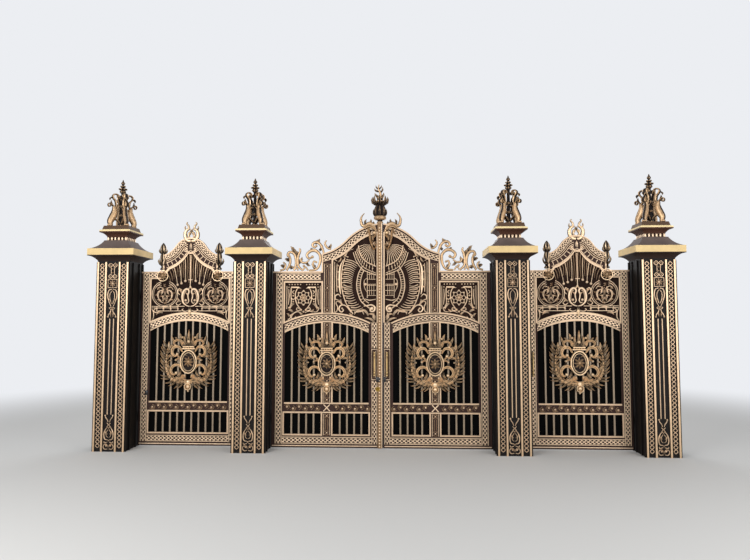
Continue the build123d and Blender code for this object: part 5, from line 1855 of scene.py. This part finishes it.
@dataclass
class SideLeaf(Dressed):
    """One side gate leaf. Its across is measured from its own middle."""

    gate: ClassVar[str] = "side"
    middle_y: ClassVar[float] = SIDE_MIDDLE_Y
    window_name: ClassVar[str] = "fan_and_rings"
    lattice: Lattice
    head: Lattice
    stile: float = 0.7225
    bottom: float = 0.138
    top: float = 2.759
    arch_half: float = 0.688
    arch_crown: float = 2.0865
    arch_rise: float = 0.192
    window_half: float = 0.642
    head_inner: float = 0.545
    peak: Sequence[Pair] = ((-0.455, 3.090), (-0.250, 3.240), (0.0, 3.376))
    peak_rise: float = 0.25
    ring_at: Pair = (0.418, 2.454)
    boss_at: Pair = (0.455, 2.750)
    pinnacle: Pair = (0.466, 2.850)
    foot: float = 0.790
    scrolls: float = 0.630
    rise: float = 0.020

    @property
    def centre(self) -> float:
        """Gives the middle of the leaf, left to right."""
        return GATE_CENTRE + self.turn * SIDE_OFFSET

    def build(self) -> None:
        """Builds all the dressed pieces of the leaf."""
        body = f"{self.stem}_leaf"
        for out in SIDES:
            self.turn_to(PLATE_OUT, out)
            self.lattice_lines()
            self.running_scroll(-self.scrolls, self.scrolls)
            self.pediment()
            self.trim.bar((-self.foot, FOOT_BEAD, self.foot, FOOT_BEAD), 0.018, 0.012)
        self.bands.finish(self.kit.gold, body, weld=1e-5)
        self.trim.finish(self.kit.gold, body)
        self.turn_to(SHEET_OUT)
        self.fan()
        for sign in SIDES:
            self.ring(sign)
        self.window.finish(self.kit.gold, body, replaced=(f"{self.stem}_grille",))
        self.dim.finish(self.kit.painted_shade, body)
        self.crest()
        self.emblem(0.0, 1.375, 0.158)

    def head_line(self, drop: float, sign: float, limit: float = 0.0) -> np.ndarray:
        """Gives one slope of the pediment, moved inwards.

        Args:
            drop: How far inside the outer edge it lies.
            sign: -1 for the slope nearer the gateway's centre, 1 for the other.
            limit: Where it stops short of the middle.

        Returns:
            The line as rows of x and z.
        """
        line = moved_aside(slope(*self.peak, self.peak_rise), drop)
        return line[line[:, 0] < -limit] * (-sign, 1.0)

    def lattice_lines(self) -> None:
        """Lays the bored bands along stiles, rails, arch and pediment."""
        half = self.lattice.width / 2
        inner = self.stile - half
        self.lattice.run(self.bands, (-inner, self.bottom, inner, self.bottom))
        for sign in SIDES:
            self.lattice.run(
                self.bands,
                (sign * self.stile, self.bottom - half, sign * self.stile, self.top + half),
                (sign * inner, self.top, sign * self.head_inner, self.top),
            )
            self.head.lay(self.bands, self.head_line(0.051, sign, 0.075))
        band = arch(self.arch_half, self.arch_crown, self.arch_rise)
        self.lattice.lay(self.bands, band, (-self.window_half, self.window_half))

    def pediment(self) -> None:
        """Adds the slotted band and the knot under the peak."""
        for sign in SIDES:
            for drop, width in ((0.109, 0.014), (0.138, 0.015), (0.218, 0.016)):
                self.trim.strap(self.head_line(drop, sign, 0.04), (width,), 0.013)
            upper, lower = self.head_line(0.150, sign, 0.04), self.head_line(0.206, sign, 0.04)
            for k in range(2, min(len(upper), len(lower)) - 1, 4):
                self.trim.bar((*upper[k], *lower[k]), 0.016, 0.011)
            rows = [(0.0, 3.160), (sign * 0.050, 3.140), (sign * 0.086, 3.180), (sign * 0.050, 3.206)]
            self.trim.strap(smooth(rows), (0.018, 0.026, 0.016), 0.018)
        self.trim.leaf((0.0, 3.180), (0.0, 3.290), 0.070, 0.018, 0.0, 2)

    def fan(self) -> None:
        """Adds the fan of rods with its balls, the fine rods in painted shade and the cross on its stem."""
        rods = ((0.086, 2.666, 0.100, 3.070), (0.150, 2.628, 0.195, 2.970), (0.213, 2.603, 0.285, 2.910))
        for sign in SIDES:
            for x0, z0, x1, z1 in rods:
                middle = (sign * ((x0 + x1) / 2 - 0.010), (z0 + z1) / 2)
                line = smooth([(sign * x0, z0), middle, (sign * x1, z1)], 5)
                self.window.strap(line, (0.010, 0.012, 0.010), self.rise)
                self.window.dome(line[0], 0.022, self.rise + 0.004)
            for share in np.linspace(0, 1, 11):
                x0, z0 = 0.330 - 0.300 * share, 2.640 + 0.100 * math.sin(math.pi * share)
                x1, z1 = 0.392 - 0.372 * share, 2.800 + 0.320 * share**0.8
                middle = (sign * ((x0 + x1) / 2 - 0.014), (z0 + z1) / 2)
                line = smooth([(sign * x0, z0), middle, (sign * x1, z1)], 4)
                self.dim.strap(line, (0.006, 0.012, 0.012), self.rise * 0.8)
        self.window.bar((0.0, 2.566, 0.0, 3.090), 0.018, self.rise)
        self.window.bar((-0.034, 2.685, 0.034, 2.685), 0.018, self.rise)
        self.window.dome((0.0, 2.566), 0.020, self.rise)

    def ring(self, sign: float) -> None:
        """Adds one ringed ornament, one loop of the heart, and the double rods under them.

        Args:
            sign: Which side of the leaf.
        """
        centre = (sign * self.ring_at[0], self.ring_at[1])
        turn = np.linspace(math.radians(-250), math.radians(70), 34)
        arc = np.stack([np.cos(turn), np.sin(turn)], 1)
        for radius, width in ((0.212, 0.014), (0.188, 0.008)):
            self.window.strap(np.array(centre) + radius * arc, (width,), self.rise)
        for flip in SIDES:
            SIDE_RING.draw(self.window, self.rise, centre, (flip, 1.0))
        for k in range(16):
            spoke = np.array((math.cos(math.pi * k / 8 + 0.2), math.sin(math.pi * k / 8 + 0.2)))
            near, far = (0.118, 0.172) if k % 2 else (0.070, 0.112)
            self.dim.leaf(centre + spoke * near, centre + spoke * far, 0.040, self.rise * 0.8, 0.25, 2)
        HEART.draw(self.window, self.rise, flip=(sign, 1.0))
        for z, start, end in ((2.252, 0.09, 0.632), (2.226, 0.20, 0.632), (2.177, 0.14, 0.56)):
            self.window.bar((sign * start, z, sign * end, z), 0.014, self.rise)
        for x in (0.20, 0.32, 0.44, 0.55):
            self.window.bar((sign * x, 2.180, sign * x, 2.250), 0.014, self.rise)
            self.window.dome((sign * x, 2.214), 0.017, self.rise + 0.002, sides=8)

    def crest(self) -> None:
        """Builds the rosettes, their pinnacles, the peak figures and the hanging bud."""
        casting = Casting(f"{self.stem}_pinnacles_and_peak")
        front, plane = self.face(PLATE_OUT), self.face()
        for sign in SIDES:
            boss = (sign * self.boss_at[0], self.boss_at[1])
            casting.on(front).strap(circle(boss, 0.087), (0.018,), 0.024)
            casting.rosette(boss, 0.082, 9, 0.030, 0.2)
            casting.rosette(boss, 0.046, 6, 0.042)
            axis = (self.centre + self.turn * sign * self.pinnacle[0], self.middle_y, self.pinnacle[1])
            casting.lathe(axis, PINNACLE, 24, 6, 0.14)
            for k in range(6):
                casting.on(Face.spoke(axis, math.pi * k / 3 + 0.3))
                casting.leaf((0.030, 0.080), (0.056, 0.190), 0.040, 0.012, -0.2, 2, True)
                casting.leaf((0.028, 0.270), (0.056, 0.345), 0.034, 0.012, -0.2, 2, True)
            hook = np.array(((0.400, 2.870), (0.380, 2.960), (0.410, 3.030), (0.440, 3.020))) * (sign, 1.0)
            casting.on(plane).strap(smooth(hook), (0.026, 0.036, 0.022), 0.014, Section.FREE)
            PEAK_FIGURE.draw(casting, 0.028, flip=(sign, 1.0))
        casting.on(front)
        for k in range(3):
            casting.dome((0.0, 2.170 - 0.034 * k), 0.034 - 0.008 * k, 0.030)
        casting.leaf((0.0, 2.230), (0.0, 2.100), 0.075, 0.030, 0.0, 3)
        casting.finish(self.kit.antique, f"{self.stem}_leaf", replaced=(f"{self.stem}_crest",))


@dataclass
class Stage:
    """The plain floor, the pale surroundings, the soft lights and the camera."""

    camera_at: tuple[float, float, float] = (2.3966, -9.4820, 2.0538)
    tilt: float = 93.662
    turn: float = 2.796
    lens: float = 28.87
    backdrop: Shade = (236, 238, 242)
    floor: Shade = (204, 203, 200)
    fade: Pair = (7.0, 13.0)
    soft: float = 0.66

    def build(self) -> None:
        """Builds the surroundings."""
        self.ground()
        self.world()
        self.light("key_panel", (-3.5, -8.5, 4.4), (2.0, 0.0, 1.5), 5.0, 560.0)
        self.light("fill_panel", (8.5, -7.0, 3.2), (2.0, 0.0, 1.4), 5.0, 300.0)
        self.light("rear_panel", (2.0, 8.0, 6.0), (2.0, 0.0, 1.6), 6.0, 300.0)
        camera = bpy.data.cameras.new("street_view")
        camera.lens = self.lens
        camera.sensor_width = 36.0
        holder = placed("street_view", camera)
        holder.location = self.camera_at
        holder.rotation_euler = (math.radians(self.tilt), 0.0, math.radians(self.turn))
        bpy.context.scene.camera = holder
        bpy.context.scene.view_settings.view_transform = "Standard"

    def seen_rays(self) -> tuple[dict[str, tuple[str, dict]], str]:
        """Gives the nodes and links of a mask that is 1 for camera, glossy and transmission rays.

        Returns:
            The nodes and the links. The mask is the output of the node named seen.
        """
        nodes = {
            "rays": ("ShaderNodeLightPath", {}),
            "either": ("ShaderNodeMath", {"operation": "MAXIMUM"}),
            "seen": ("ShaderNodeMath", {"operation": "MAXIMUM"}),
        }
        links = """
            rays.Is Camera Ray > either.0; rays.Is Glossy Ray > either.1; either.Value > seen.0
            rays.Is Transmission Ray > seen.1
        """
        return nodes, links.strip()

    def ground(self) -> None:
        """Builds the floor, which fades into the backdrop far from the gateway."""
        mesh = bpy.data.meshes.new("studio_floor")
        work = bmesh.new()
        bmesh.ops.create_grid(work, x_segments=1, y_segments=1, size=60.0)
        work.to_mesh(mesh)
        work.free()
        floor = placed("studio_floor", mesh)
        made = painted("floor_paint")
        near, far = self.fade
        nodes, links = self.seen_rays()
        nodes |= {
            "shader": ("", {"Base Color": linear(self.floor), "Roughness": 0.9}),
            "place": ("ShaderNodeTexCoord", {}),
            "centre": ("ShaderNodeMapping", {"Location": (-GATE_CENTRE, 0.0, 0.0)}),
            "far": ("ShaderNodeVectorMath", {"operation": "LENGTH"}),
            "fade": ("ShaderNodeMapRange", {"From Min": near, "From Max": far, **SOFT_STEP}),
            "share": ("ShaderNodeMath", {"operation": "MULTIPLY"}),
            "glow": ("ShaderNodeEmission", {"Color": linear(self.backdrop)}),
            "mix": ("ShaderNodeMixShader", {}),
        }
        links += """
            place.Object > centre.Vector; centre.Vector > far.0; far.Value > fade.Value; fade.Result > share.0
            seen.Value > share.1; share.Value > mix.Fac; shader.BSDF > mix.1; glow.Emission > mix.2
            mix.Shader > end.Surface
        """
        wire(made.node_tree, nodes, links)
        mesh.materials.append(made)

    def world(self) -> None:
        """Makes the world: the backdrop where it is seen, and a softer light elsewhere."""
        world = bpy.data.worlds.new("pale_world")
        bpy.context.scene.world = world
        world.use_nodes = True
        world.node_tree.nodes["World Output"].name = "end"
        nodes, links = self.seen_rays()
        nodes |= {
            "Background": ("", {"Color": linear(self.backdrop), "Strength": self.soft}),
            "bright": ("ShaderNodeBackground", {"Color": linear(self.backdrop)}),
            "mix": ("ShaderNodeMixShader", {}),
        }
        links += """
            seen.Value > mix.Fac; Background.Background > mix.1; bright.Background > mix.2
            mix.Shader > end.Surface
        """
        wire(world.node_tree, nodes, links)

    def light(
        self, name: str, at: Sequence[float], towards: Sequence[float], size: float, power: float,
    ) -> None:
        """Adds a soft light panel.

        Args:
            name: Its name.
            at: Where it hangs.
            towards: Where it looks.
            size: Its side.
            power: Its power.
        """
        lamp = bpy.data.lights.new(name, "AREA")
        lamp.size = size
        lamp.energy = power
        holder = placed(name, lamp)
        holder.location = at
        holder.rotation_euler = (Vector(towards) - Vector(at)).to_track_quat("-Z", "Y").to_euler()


def dress_nodes() -> None:
    """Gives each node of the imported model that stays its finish."""
    gold, low, rib = (222, 191, 158), (62, 43, 37), (POST_HALF - RIB_PROUD, POST_HALF)
    worn = {"step": (0.35, 0.75), "breakup": 0.3, "rough": (0.46, 0.66), "relief": Relief.DEPTH}
    shaft = {"step": (0.4, 0.8), "breakup": 0.35, "relief": Relief.DEPTH, "depth": rib}
    cap = (
        (0.0, (52, 38, 32)), (3.036, (222, 194, 140)), (3.149, (110, 96, 90)), (3.2945, (70, 48, 38)),
        (3.351, (84, 54, 42)), (3.427, (236, 214, 162)), (3.4575, (92, 70, 54)),
    )
    main_sheet = ((0.0, (5, 5, 5)), (1.990, (46, 32, 27)))
    side_sheet = ((0.0, (5, 5, 5)), (2.006, (38, 26, 22)))
    hinge = BandedPaint("hinge_steel", ((0.0, (58, 52, 50)),), 0.6, 0.45).material()
    finishes = {
        "post_shaft": Finish("post_shaft_bronze", (224, 191, 154), (18, 13, 11), **shaft).material(),
        "post_cap": BandedPaint("cap_paint", cap, 0.2, 0.6, 0.2).material(),
        "main_left_sheet": BandedPaint("main_backing_paint", main_sheet, 0.0, 0.6, 0.03).material(),
        "side_left_sheet": BandedPaint("side_backing_paint", side_sheet, 0.0, 0.6, 0.03).material(),
        "_bars": BandedPaint("bar_paint", ((0.0, (152, 134, 112)),), 0.3, 0.45).material(),
        "_hinge_posts": hinge,
        "_hinge_straps": hinge,
        "_cover_strip": BandedPaint("cover_strip_paint", ((0.0, (150, 118, 84)),), 0.5, 0.4).material(),
        "main_left_frame": Finish("main_frame_paint", gold, low, middle_y=MAIN_MIDDLE_Y, **worn).material(),
        "side_left_frame": Finish("side_frame_paint", gold, low, middle_y=SIDE_MIDDLE_Y, **worn).material(),
    }
    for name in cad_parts:
        piece = bpy.data.objects.get(name)
        for ending, material in finishes.items():
            if piece and name.replace("_right_", "_left_").endswith(ending):
                piece.data.materials.clear()
                piece.data.materials.append(material)


def main() -> None:
    """Dresses the gateway and sets up its studio."""
    logging.basicConfig(level=logging.INFO)
    kit = Kit(
        gold=Finish(
            "champagne_gold_casting", (250, 219, 184), (34, 22, 18), (0.18, 0.72), rough=(0.42, 0.66),
        ).material(),
        # A darker copy of the gold: painted shade for recessed and fine ornament
        painted_shade=Finish("painted_shade_bronze_casting", (158, 128, 98), (42, 28, 23)).material(),
        antique=Finish("antique_gold_casting", (255, 222, 180), (28, 18, 15), (0.32, 0.80), 0.45).material(),
        finial=Finish("finial_bronze_casting", (222, 184, 140), (30, 20, 17), (0.3, 0.95), 0.5).material(),
        brass=Finish("lock_brass", (226, 190, 92), (96, 70, 28), (0.1, 0.6)).material(),
        post=Finish("post_relief_gold", (226, 193, 158), (20, 14, 12), (0.3, 0.75), 0.4).material(),
        copper=Finish("copper_gold_pull", (208, 174, 116), (74, 50, 32), (0.1, 0.6)).material(),
        black=Finish("black_latch_paint", (38, 36, 38), (18, 17, 18), metallic=0.1).material(),
    )
    dress_nodes()
    for post in POSTS:
        PostDress(post, kit).build()
    wide = Lattice(0.108, 0.0695, kit.gold)
    narrow = Lattice(0.088, 0.0695, kit.gold, 0.040, border=0.009)
    side_band = Lattice(0.100, 0.0640, kit.gold, 0.044, (0.0130, 0.0118), (0.0142, 0.0142))
    head_band = Lattice(0.074, 0.0580, kit.gold, 0.031, (0.0120, 0.0090), (0.0125, 0.0120), border=0.008)
    for side in ("left", "right"):
        MainLeaf(side, kit, wide, narrow).build()
        SideLeaf(side, kit, side_band, head_band).build()
    CrownFinial(kit).build()
    Hardware(kit).build()
    Stage().build()


if __name__ == "__main__":
    main()
